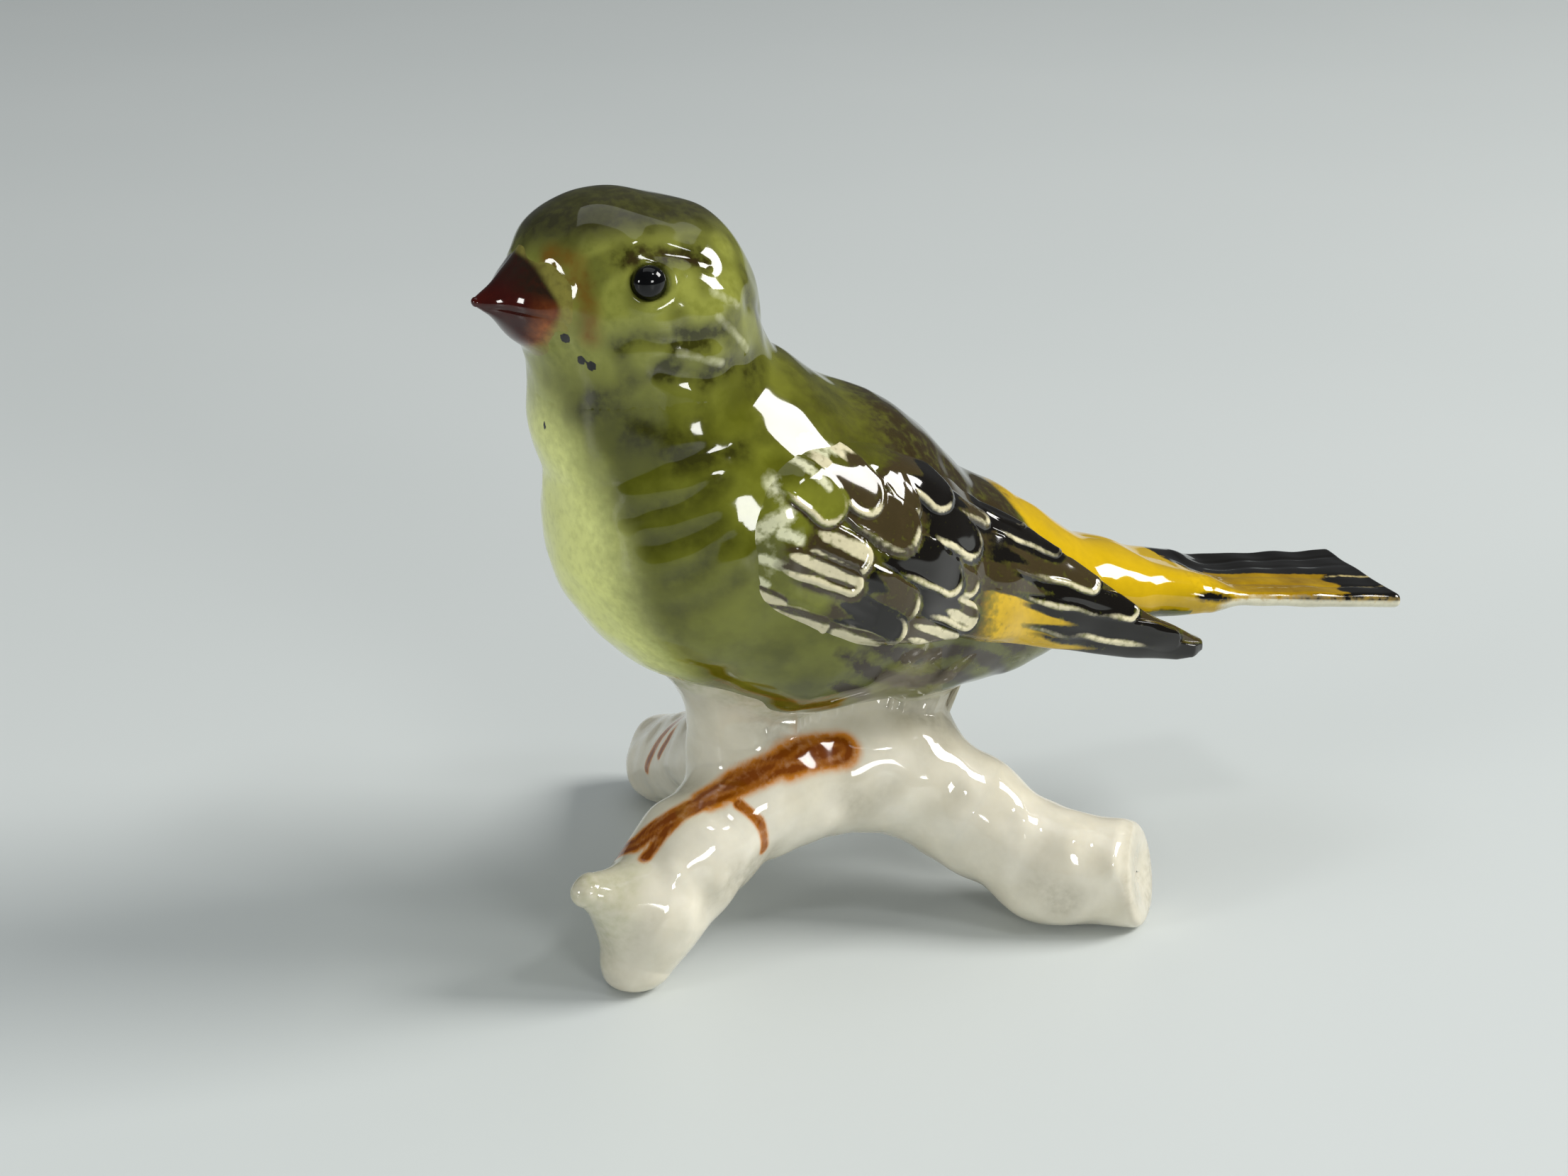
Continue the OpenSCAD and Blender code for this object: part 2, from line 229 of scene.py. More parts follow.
@dataclass(frozen=True)
class Spine:
    """Axis that a skin's rings stand on. A ring's rays lean by tilt from the forward direction.

    Attributes:
        origins: start of the rays of each ring, (m, 3).
        forwards: forward direction of each ring, (m, 3).
        tilts: lean of each ring's rays in radians, from pi at the first pole to 0 at the last.
    """
    origins: Array
    forwards: Array
    tilts: Array

    def rays(self, around: int, hint: Point = UP) -> tuple[Array, Array]:
        """Origins and unit directions of all rays, on an (m, around) grid.

        Args:
            around: number of rays of a ring.
            hint: direction that no ring faces, from which its sides are squared.

        Returns:
            The origins and the directions.
        """
        turn = np.linspace(0.0, 2.0 * math.pi, around, endpoint=False)
        side = unit(np.cross(self.forwards, np.array(hint)))
        up = np.cross(side, self.forwards)
        ring = np.cos(turn)[None, :, None] * side[:, None] + np.sin(turn)[None, :, None] * up[:, None]
        lean = self.tilts[:, None, None]
        ray = np.cos(lean) * self.forwards[:, None] + np.sin(lean) * ring
        return np.broadcast_to(self.origins[:, None], ray.shape), ray

    @staticmethod
    def along(points: Sequence[Point], rows: int, fan: int, straight: Point | None = None) -> "Spine":
        """Spine along a line of points, with a fan of leaning rings about each end.

        Args:
            points: the line.
            rows: number of upright rings.
            fan: number of leaning rings at each end.
            straight: fixed forward direction, or None to follow the line.

        Returns:
            The spine.
        """
        line = np.array(points, float)
        run = np.concatenate([[0.0], np.cumsum(np.linalg.norm(np.diff(line, axis=0), axis=1))])
        s = np.linspace(0.0, run[-1], rows)
        at = np.stack([np.interp(s, run, line[:, i]) for i in range(3)], -1)
        around_bend = run[-1] * 0.12
        ahead = np.stack([np.interp(s + around_bend, run, line[:, i]) for i in range(3)], -1)
        behind = np.stack([np.interp(s - around_bend, run, line[:, i]) for i in range(3)], -1)
        forward = unit(ahead - behind) if straight is None else np.tile(unit(np.array(straight)), (rows, 1))
        half = np.linspace(0.0, math.pi / 2.0, fan, endpoint=False)
        return Spine(
            np.concatenate([np.tile(at[0], (fan, 1)), at, np.tile(at[-1], (fan, 1))]),
            np.concatenate([np.tile(forward[0], (fan, 1)), forward, np.tile(forward[-1], (fan, 1))]),
            np.concatenate([math.pi - half, np.full(rows, math.pi / 2.0), half[::-1]]),
        )

    @staticmethod
    def star(centre: Point, rows: int) -> "Spine":
        """Spine of one point: rings lean from pi to 0 about the upright through it."""
        return Spine(np.tile(centre, (rows, 1)), np.tile(UP, (rows, 1)), np.linspace(math.pi, 0.0, rows))


def skin(f: Field, spine: Spine, around: int, high: float, hint: Point = UP) -> Array:
    """Grid of surface points of a field round a spine.

    Args:
        f: distance field.
        spine: what the rings stand on.
        around: number of points of a ring.
        high: longest run of a ray.
        hint: direction that no ring faces.

    Returns:
        The points, (rings, around, 3).
    """
    origin, ray = spine.rays(around, hint)
    return cast(f, origin, ray, np.array(high))


def past(at: Point, direction: Point) -> Field:
    """Joint plane as a field: the distance past it."""
    def joint(p: Array) -> Array:
        """Height of p over the plane."""
        return beyond(p, at, direction)
    return joint


def short_of(at: Point, direction: Point) -> Field:
    """Joint plane as a field: the distance short of it."""
    def joint(p: Array) -> Array:
        """Depth of p under the plane."""
        return -beyond(p, at, direction)
    return joint


def other_side(joint: Field) -> Field:
    """The same joint as the piece on its other side sees it."""
    def turned(p: Array) -> Array:
        """Distance with its sign changed."""
        return -joint(p)
    return turned


def either(*joints: Field) -> Field:
    """Signed distance past the nearest of several joints."""
    def joint(p: Array) -> Array:
        """Largest of the distances."""
        return np.maximum.reduce([one(p) for one in joints])
    return joint


@dataclass(frozen=True)
class Territory:
    """One piece's share of a field. Past a joint the skin sinks a little and soon ends.

    Attributes:
        whole: the field that the pieces share.
        joints: for each joint, the signed distance past it.
    """
    whole: Field
    joints: tuple[Field, ...]

    def __call__(self, p: Array) -> Array:
        """Field of the piece alone."""
        out = self.whole(p)
        over = [joint(p) for joint in self.joints]
        for h in over:
            out = out + SEAM_DIP * step(h, -SEAM_HALF, SEAM_HALF)
        for h in over:
            out = np.maximum(out, h - SEAM_OVERLAP)
        return out


def grid_mesh(name: str, points: Array, masks: dict[str, Array]) -> bpy.types.Object:
    """Closed mesh from an (m, n) grid of points in mm whose columns close on themselves.

    The first and last rows shrink to one pole vertex each. Faces are listed so that they point
    outwards when the rows run forward and the columns turn from side to up.

    Args:
        name: name of the piece.
        points: (m, n, 3) grid.
        masks: name of each float attribute and its (m, n) values.

    Returns:
        The object, linked to the scene.
    """
    rows, n = points.shape[0] - 2, points.shape[1]
    ends = np.stack([points[0].mean(0), points[-1].mean(0)])
    verts = np.concatenate([points[1:-1].reshape(-1, 3), ends]) * MM
    i, j = np.meshgrid(np.arange(rows - 1), np.arange(n), indexing="ij")
    a, b = i * n + j, i * n + (j + 1) % n
    quads = np.stack([a, b, b + n, a + n], -1).reshape(-1, 4)
    j = np.arange(n)
    first, last = rows * n, rows * n + 1
    start = np.stack([np.full(n, first), (j + 1) % n, j], -1)
    top = (rows - 1) * n
    finish = np.stack([np.full(n, last), top + j, top + (j + 1) % n], -1)
    mesh = bpy.data.meshes.new(f"{name}_glazed")
    corners = np.concatenate([quads.ravel(), start.ravel(), finish.ravel()]).astype(np.int32)
    counts = np.concatenate([np.full(len(quads), 4), np.full(2 * n, 3)])
    mesh.vertices.add(len(verts))
    mesh.vertices.foreach_set("co", verts.ravel())
    mesh.loops.add(len(corners))
    mesh.loops.foreach_set("vertex_index", corners)
    mesh.polygons.add(len(counts))
    mesh.polygons.foreach_set("loop_start", np.concatenate([[0], np.cumsum(counts)[:-1]]).astype(np.int32))
    mesh.polygons.foreach_set("use_smooth", np.ones(len(counts), bool))
    mesh.update(calc_edges=True)
    mesh.validate()
    for key, values in masks.items():
        flat = np.concatenate([values[1:-1].ravel(), [values[0].mean(), values[-1].mean()]])
        mesh.attributes.new(key, "FLOAT", "POINT").data.foreach_set("value", flat.astype(np.float32))
    thing = bpy.data.objects.new(mesh.name, mesh)
    bpy.context.scene.collection.objects.link(thing)
    return thing


# ---------------------------------------------------------------- the two clays

TORSO: tuple[Ball, ...] = (
    (-22.5, BIRD_Y, 40, 14.8), (-14.4, BIRD_Y, 36, 14.5), (-4, BIRD_Y, 31.8, 10.6),
    (4, BIRD_Y, 30, 7.8), (14, BIRD_Y, 28.5, 4.0), (21.5, BIRD_Y, 27.4, 1.7),
)
NECK: tuple[Ball, Ball] = ((-28.4, BIRD_Y, 50.5, 10.9), (-25.4, BIRD_Y, 44, 13.3))
RUMP: tuple[Ball, Ball] = ((6, BIRD_Y - 1.5, 29.6, 5.4), (24, BIRD_Y - 3.4, 27.3, 1.2))
SKULL: Point = (-29.5, BIRD_Y, 59.2)
BROW: Point = (-33.6, BIRD_Y, 63.0)
BILL: tuple[Ball, ...] = ((-35.4, -6.3, 61.2, 4.9), (-38.3, -6.5, 61.4, 4.1), (-43.9, -6.95, 61.8, 0.38))
BILL_SEAM_AT: Point = (-43.9, -7.7, 61.5)
BILL_SEAM_R = 7.5
BILL_SEAM_FLAT = 1.5          # the ball about the tip is this much lower than it is long
BILL_FLAT = 0.82              # width is measured at this share, which makes the bill wider than high
EYE: Point = (-31.5, -14.45, 64.1)
EYE_R = 1.45
WING_LEAN = math.radians(25)  # lean of the flat that the wing feathers are drawn on
TAIL_HALF = ((18.0, 2.4), (23.0, 5.4), (44.2, 6.8))
TAIL_MID = ((18.0, 28.2), (44.2, 24.7))
TAIL_HALF_T = 0.75
TAIL_ROUND = 0.7              # radius of the tail's edges
TAIL_ROOT = 18.0
TAIL_END = 44.2
TAIL_SEAM = 22.0

TRUNK_LINE: tuple[Ball, ...] = ((-19, -8, 14.5, 5.5), (-6, -8, 14, 5.5))
SADDLE: tuple[Ball, ...] = ((-20, -6.6, 18, 3.8), (-5, -6.4, 17.6, 3.2))
FRONT: tuple[Ball, ...] = (
    (-19, -8, 14.5, 5.4), (-27.0, -11.4, 10.9, 5.1), (-32.2, -13.3, 6.8, 4.5), (-34.0, -14.0, 2.6, 3.2),
)
RIGHT: tuple[Ball, ...] = (
    (-6, -8, 13.6, 5.4), (-0.6, -11, 9.8, 5.0), (6, -16, 5.2, 5.0), (13.5, -19.4, 4.5, 5.0),
)
BACK: tuple[Ball, ...] = ((-17, -4, 14.5, 4.9), (-18.2, 8, 10.2, 4.3), (-19.3, 20, 4.3, 4.6))
TWIG: tuple[Ball, ...] = ((-33.5, -14.3, 8, 3.6), (-38.3, -15, 10.8, 1.6))
RIGHT_CUT: tuple[Point, Point] = ((13.6, -19.5, 4.5), (0.76, -0.61, 0.2))
BACK_CUT: tuple[Point, Point] = ((-22.6, 20.0, 7.2), (-0.82, 0.25, 0.52))
LEFT_LEG: tuple[Ball, ...] = ((-21.2, -7, 15.5, 4.6), (-21.2, -7, 20, 4.3), (-21.2, -7, 26, 6.2))
RIGHT_LEG: tuple[Ball, ...] = ((-3.4, -6.4, 15.5, 3.6), (-3.4, -6.4, 20, 2.2), (-3.4, -6.4, 26, 4.0))


def wing_height(p: Array) -> Array:
    """Height on the leaning flat that the wing feathers are drawn on."""
    return p[..., 2] * math.cos(WING_LEAN) + (p[..., 1] - BIRD_Y) * math.sin(WING_LEAN)


def tail_field(p: Array) -> Array:
    """Flat blade with rounded edges: a box about the tail's sloping middle, less its rounding."""
    x = p[..., 0]
    over = np.stack([
        np.abs(x - (TAIL_END + TAIL_ROOT) / 2.0) - (TAIL_END - TAIL_ROOT) / 2.0,
        np.abs(p[..., 1] - BIRD_Y) - along_x(x, TAIL_HALF),
        np.abs(p[..., 2] - along_x(x, TAIL_MID)) - TAIL_HALF_T,
    ], -1) + TAIL_ROUND
    return np.linalg.norm(np.maximum(over, 0.0), axis=-1) + np.minimum(over.max(-1), 0.0) - TAIL_ROUND


def skull_field(p: Array) -> Array:
    """The skull with its brow."""
    return blend(ball(p, SKULL, 10.1), ball(p, BROW, 6.9), 3.0)


def bill_field(p: Array) -> Array:
    """Cone of the bill, a little wider than high."""
    q = p.copy()
    q[..., 1] = BILL[0][1] + (p[..., 1] - BILL[0][1]) * BILL_FLAT
    return chain(q, BILL, 0.8)


def bill_seam(p: Array) -> Array:
    """Positive near the bill's tip: its base is luted along a flattened ball about the tip."""
    off = p - np.array(BILL_SEAM_AT)
    return BILL_SEAM_R - np.linalg.norm(off * np.array([1.0, 1.0, BILL_SEAM_FLAT]), axis=-1)


def bird_field(p: Array) -> Array:
    """The bird without wings and tail: torso, mirrored rump, neck, skull and bill, blended."""
    torso = blend(chain(p, TORSO, 2.0), rod(to_left(p), *RUMP), 2.0)
    head = blend(skull_field(p), bill_field(p), 0.8)
    return blend(blend(torso, rod(p, *NECK), 3.0), head, 2.5)


def tailed_field(p: Array) -> Array:
    """The bird with its tail growing out of the rump."""
    return blend(bird_field(p), tail_field(p), 3.2)


def limbs_field(p: Array) -> Array:
    """The bare branch with both legs."""
    right = trim(chain(p, RIGHT, 2.0), beyond(p, *RIGHT_CUT), 1.1)
    back = trim(chain(p, BACK, 2.0), beyond(p, *BACK_CUT), 1.6)
    middle = blend(blend(chain(p, TRUNK_LINE, 2.0), chain(p, FRONT, 2.0), 2.5),
                   blend(chain(p, SADDLE, 2.0), right, 2.5), 2.5)
    branch = blend(middle, blend(back, chain(p, TWIG, 2.0), 2.5), 2.5)
    legs = np.minimum(chain(p, LEFT_LEG, 1.5), chain(p, RIGHT_LEG, 1.5))
    return blend(branch, legs, 1.8)


def branch_field(p: Array) -> Array:
    """The branch as it stands: it climbs a little onto the belly, is cut at its ends and flat below."""
    bare = limbs_field(p)
    out = trim(blend(bare, bird_field(p) + 0.12, 2.4), bare - 1.8, 0.2)
    at, ahead = np.array(RIGHT_CUT[0]), unit(np.array(RIGHT_CUT[1]))
    out = trim(out, -ball(p, tuple(at + ahead * 6.0), 6.5), 0.3)
    out = trim(out, -rod(p, (*(at - ahead), 0.3), (*(at + ahead), 0.3)), 0.1)
    return trim(out, -p[..., 2], 0.9)


# ---------------------------------------------------------------- finishes

class Slot(Enum):
    """Material slots of the record."""
    OLIVE = "olive_glaze"
    BEAK = "beak_glaze"
    EYE = "black_enamel"
    WING = "wing_glaze"
    TAIL = "tail_glaze"
    WHITE = "white_glaze"


def linear(colour: Sequence[int]) -> tuple[float, float, float, float]:
    """Screen colour out of 255 as linear light, ((c + 0.055) / 1.055)^2.4."""
    c = np.array(colour) / 255.0
    out = np.where(c <= 0.04045, c / 12.92, ((c + 0.055) / 1.055) ** 2.4)
    return (*(float(v) for v in out), 1.0)


@dataclass(frozen=True)
class Coat:
    """One coat of underglaze paint.

    Attributes:
        mask: vertex attribute that says where the paint lies, 0 to 1.
        colour: screen colour out of 255.
        low: mask value where the paint starts.
        high: mask value where it is full.
        ragged: how much the brush breaks its edge.
    """
    mask: str
    colour: Colour
    low: float = 0.0
    high: float = 1.0
    ragged: float = 0.5


@dataclass(frozen=True)
class PaintedGlaze:
    """Porcelain with brushed underglaze colours beneath a thick clear glaze.

    Attributes:
        name: name of the material.
        ground: screen colour of the first, overall coat.
        wash: screen colour that the ground drifts to in clouds.
        coats: paints laid over it, in order.
        mottle: how much each tone varies.
        bristle: size of the brush marks in mm.
        depth: subsurface weight of the clay.
        wave: height of the glaze's ripples in mm.
        gloss: specular level, 0.5 for glass.
    """
    name: str
    ground: Colour
    wash: Colour
    coats: tuple[Coat, ...] = ()
    mottle: float = 0.12
    bristle: float = 0.9
    depth: float = 0.0
    wave: float = 0.012
    gloss: float = 0.5

    def make(self) -> bpy.types.Material:
        """Builds the node material."""
        material = bpy.data.materials.new(self.name)
        material.use_nodes = True
        nodes, links = material.node_tree.nodes, material.node_tree.links
        shader = nodes["Principled BSDF"]
        coords = nodes.new("ShaderNodeTexCoord").outputs["Object"]
        fine = self.noise(nodes, links, coords, 1.0 / (self.bristle * MM), 4.0)
        broad = self.noise(nodes, links, coords, 1.0 / (6.0 * MM), 3.0)
        drift = self.noise(nodes, links, coords, 1.0 / (4.5 * MM), 5.0)
        clouds = nodes.new("ShaderNodeMix")
        clouds.data_type = "RGBA"
        links.new(self.curve(nodes, links, drift, 0.38, 0.62, 0.0, 1.0), clouds.inputs[0])
        clouds.inputs[6].default_value = linear(self.ground)
        clouds.inputs[7].default_value = linear(self.wash)
        colour = clouds.outputs[2]
        for coat in self.coats:
            colour = self.brush(nodes, links, coat, colour, fine)
        tone = self.curve(nodes, links, broad, 0.3, 0.7, 1.0 - self.mottle, 1.0 + self.mottle)
        grain = self.curve(nodes, links, fine, 0.3, 0.7, 1.0 - self.mottle * 0.6, 1.0 + self.mottle * 0.6)
        both = nodes.new("ShaderNodeMath")
        both.operation = "MULTIPLY"
        links.new(tone, both.inputs[0])
        links.new(grain, both.inputs[1])
        toned = nodes.new("ShaderNodeVectorMath")
        toned.operation = "SCALE"
        links.new(colour, toned.inputs[0])
        links.new(both.outputs[0], toned.inputs["Scale"])
        links.new(toned.outputs[0], shader.inputs["Base Color"])
        rough = self.curve(nodes, links, broad, 0.3, 0.7, 0.04, 0.10)
        links.new(rough, shader.inputs["Roughness"])
        ripple = nodes.new("ShaderNodeBump")
        ripple.inputs["Strength"].default_value = 0.35
        ripple.inputs["Distance"].default_value = self.wave * MM
        links.new(self.noise(nodes, links, coords, 1.0 / (2.2 * MM), 1.0), ripple.inputs["Height"])
        links.new(ripple.outputs[0], shader.inputs["Normal"])
        links.new(ripple.outputs[0], shader.inputs["Coat Normal"])
        shader.inputs["IOR"].default_value = 1.5
        shader.inputs["Specular IOR Level"].default_value = self.gloss
        shader.inputs["Coat Weight"].default_value = 0.12
        shader.inputs["Coat Roughness"].default_value = 0.03
        shader.inputs["Subsurface Weight"].default_value = self.depth
        shader.inputs["Subsurface Radius"].default_value = (1.2 * MM, 0.9 * MM, 0.6 * MM)
        shader.inputs["Subsurface Scale"].default_value = 1.0
        return material

    @staticmethod
    def noise(nodes: Nodes, links: Links, coords: Socket, scale: float, detail: float) -> Socket:
        """Noise over the object's own coordinates.

        Args:
            nodes: nodes of the material.
            links: links of the material.
            coords: the coordinates.
            scale: waves per metre.
            detail: octaves.

        Returns:
            The noise, about 0.5 in the mean.
        """
        node = nodes.new("ShaderNodeTexNoise")
        node.inputs["Scale"].default_value = scale
        node.inputs["Detail"].default_value = detail
        links.new(coords, node.inputs["Vector"])
        return node.outputs["Fac"]

    @staticmethod
    def curve(nodes: Nodes, links: Links, value: Socket, low: float, high: float,
              start: float, end: float) -> Socket:
        """Straight line from (low, start) to (high, end), held beyond both.

        Args:
            nodes: nodes of the material.
            links: links of the material.
            value: what is read off the line.
            low: value that gives start.
            high: value that gives end.
            start: result at low.
            end: result at high.

        Returns:
            The result.
        """
        node = nodes.new("ShaderNodeMapRange")
        for socket, number in zip(node.inputs[1:5], (low, high, start, end)):
            socket.default_value = number
        links.new(value, node.inputs["Value"])
        return node.outputs["Result"]

    def brush(self, nodes: Nodes, links: Links, coat: Coat, under: Socket, grain: Socket) -> Socket:
        """One coat over the colour under it: mask times (1 + ragged grain), between low and high.

        Args:
            nodes: nodes of the material.
            links: links of the material.
            coat: the paint.
            under: colour under it.
            grain: noise that breaks its edge.

        Returns:
            The colour of both.
        """
        mask = nodes.new("ShaderNodeAttribute")
        mask.attribute_name = coat.mask
        swing = self.curve(nodes, links, grain, 0.3, 0.7, 1.0 - coat.ragged, 1.0 + coat.ragged)
        times = nodes.new("ShaderNodeMath")
        times.operation = "MULTIPLY"
        links.new(mask.outputs["Fac"], times.inputs[0])
        links.new(swing, times.inputs[1])
        amount = self.curve(nodes, links, times.outputs[0], coat.low, coat.high, 0.0, 1.0)
        mix = nodes.new("ShaderNodeMix")
        mix.data_type = "RGBA"
        links.new(amount, mix.inputs["Factor"])
        links.new(under, mix.inputs[6])
        mix.inputs[7].default_value = linear(coat.colour)
        return mix.outputs[2]


def hand_over(thing: bpy.types.Object, finish: bpy.types.Material, slot: Slot, *nodes: str) -> None:
    """Dresses a piece with its material, sets it on the root body and hides the nodes that it stands for.

    Args:
        thing: the piece.
        finish: its material.
        slot: material slot of the record; not used.
        nodes: the nodes that it replaces.
    """
    thing.data.materials.append(finish)
    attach(thing, "root")
    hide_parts(*nodes)
    log.info("%s: %d faces", thing.name, len(thing.data.polygons))


def raise_along(f: Field, p: Array, height: Array, over: Array | None = None) -> Array:
    """Points moved out along the field's slope by a height, and sunk where they are past a joint.

    Args:
        f: distance field.
        p: points on its surface.
        height: how far each point moves.
        over: signed distance past the joint.

    Returns:
        The moved points.
    """
    if over is not None:
        hidden = step(over, SEAM_HALF, SEAM_OVERLAP)
        height = height * (1.0 - hidden) + (np.minimum(height, 0.0) - SUNK) * hidden
    return p + unit(slope(f, p)) * height[..., None]


# ---------------------------------------------------------------- the bird

NECK_AT: Point = (-28.0, BIRD_Y, 54.5)
NECK_DIR: Point = (-0.1, 0.0, 1.0)
# strokes are written on the bird's left side and mirrored
BROW_GROOVE: Line = ((-32.8, -13.3, 65.7), (-31.3, -13.2, 66.2), (-29.5, -13.4, 66.1), (-27.9, -13.6, 65.6),
                     (-26.5, -13.7, 64.9))
LORE: Line = ((-38.3, -10, 65.9), (-36.7, -11.6, 65.5), (-36.4, -12.5, 63.9), (-36.1, -13.2, 62.3),
              (-36.2, -13.5, 59.9))
CHEEK_FOLDS: tuple[Line, ...] = (
    ((-34.6, -14.7, 59.3), (-32.8, -15.5, 59.9), (-30.1, -16.1, 59.5), (-28, -16, 59.5),
     (-25.9, -15.4, 60)),
    ((-31.1, -15.9, 57.2), (-29.5, -16.1, 56.5), (-27, -15.9, 56.1), (-24.5, -15.1, 56.6),
     (-21.7, -13.1, 56.4)),
    ((-22.4, -12.9, 61.2), (-19.9, -10.4, 59.5), (-19.2, -8.9, 57.7)),
)
CHEEK_LIGHTS: tuple[Line, ...] = (
    ((-26.5, -14.9, 63), (-24.2, -14.3, 61.4)), ((-26.1, -15.3, 61), (-23.1, -14, 57.6)),
    ((-29.5, -16.1, 58.5), (-25.8, -15.5, 57.1)),
)
THROAT_SHADE: Line = ((-35.6, -13.7, 54.4), (-32.3, -16, 52), (-28.5, -17.2, 51.4))
BREAST_FOLDS: tuple[Line, ...] = (
    ((-33.7, -15.4, 44.9), (-31.3, -17.2, 45.8), (-29.1, -18.1, 46.6), (-26.9, -18.4, 48)),
    ((-32.3, -17, 42.7), (-29.9, -18.5, 43.5), (-27.6, -19.3, 44.6)),
    ((-31.2, -18, 39.7), (-29.5, -19.1, 40.8), (-28.1, -19.6, 42.4), (-27, -19.8, 43.3)),
    ((-29.9, -17, 49.3), (-28.4, -17.3, 49.7), (-25.6, -17.5, 50.0)),
    ((-30.5, -17.5, 36.9), (-28.3, -18.9, 38.2), (-26.3, -19.8, 40.0)),
)
# specks of black, on both sides and on the left alone: (middle, radius)
BLOTS: tuple[Spot, ...] = (
    ((-37.7, -11.9, 59.6), 0.55), ((-36.8, -12.8, 57.8), 0.4), ((-36.1, -13.3, 57.4), 0.45),
)
LEFT_BLOTS: tuple[Spot, ...] = (((-39.1, -3.7, 55.7), 0.16), ((-38.9, -8.6, 51.1), 0.2))
BEAK_RIM: Line = ((-38.4, -10.4, 65), (-37.3, -12, 63.7), (-37.9, -11.7, 60.8))
BELLY_LINE: Line = ((-26.3, -15.1, 28.9), (-23.7, -14.9, 27.4), (-20.9, -15.6, 26.4), (-18.1, -16.6, 26.1),
                    (-16.4, -17.4, 26.8))
WING_SHADE: tuple[Line, ...] = (
    ((-17, -20.5, 32.1), (-13.8, -20.2, 31.2), (-8.3, -17.8, 28.4), (-5.6, -16.1, 26.8), (2, -13.8, 26)),
    ((-15.5, -19.6, 29.4), (-10, -18.2, 27.2), (-4, -15.6, 25.2)),
    ((-16.5, -18.6, 27.8), (-11, -17, 25.4)),
)
SHOULDER_LIGHTS: tuple[Line, ...] = (
    ((-23, -19, 47.7), (-21.9, -20, 45.3), (-20.3, -20, 44.0)),
    ((-18.9, -16.7, 49.6), (-16.6, -16.9, 48.5), (-14.9, -16.8, 47.2), (-13.4, -17.4, 46.2)),
    ((-24.6, -20.3, 44.4), (-23.6, -20.4, 42.4), (-23.9, -20.6, 40.6)),
)
LIME_EDGE = ((10, -27.0), (22, -27.0), (27, -28.0), (29, -29.0), (32.5, -31.6), (35.5, -33.6), (38, -34.6),
             (43.5, -35.3), (47, -36.4), (52, -38.3), (60, -41.5), (72, -46.0))


BELLY_EDGE: Line = ((-24.9, -9.5, 25.1), (-22.8, -12.4, 25.1), (-18.9, -13.2, 23.7), (-14.4, -12.8, 22.4))
# height of the back's middle against X, and of the tail's underside
BACK_TOP = ((-30, 58), (-20, 47), (-8, 40), (4, 33), (22, 28))
RUMP_LOW = ((4, 28.6), (14, 27.6), (23, 26.3))
UNDER_TAIL = ((0, 27.5), (14, 27.6), (23, 26.3))


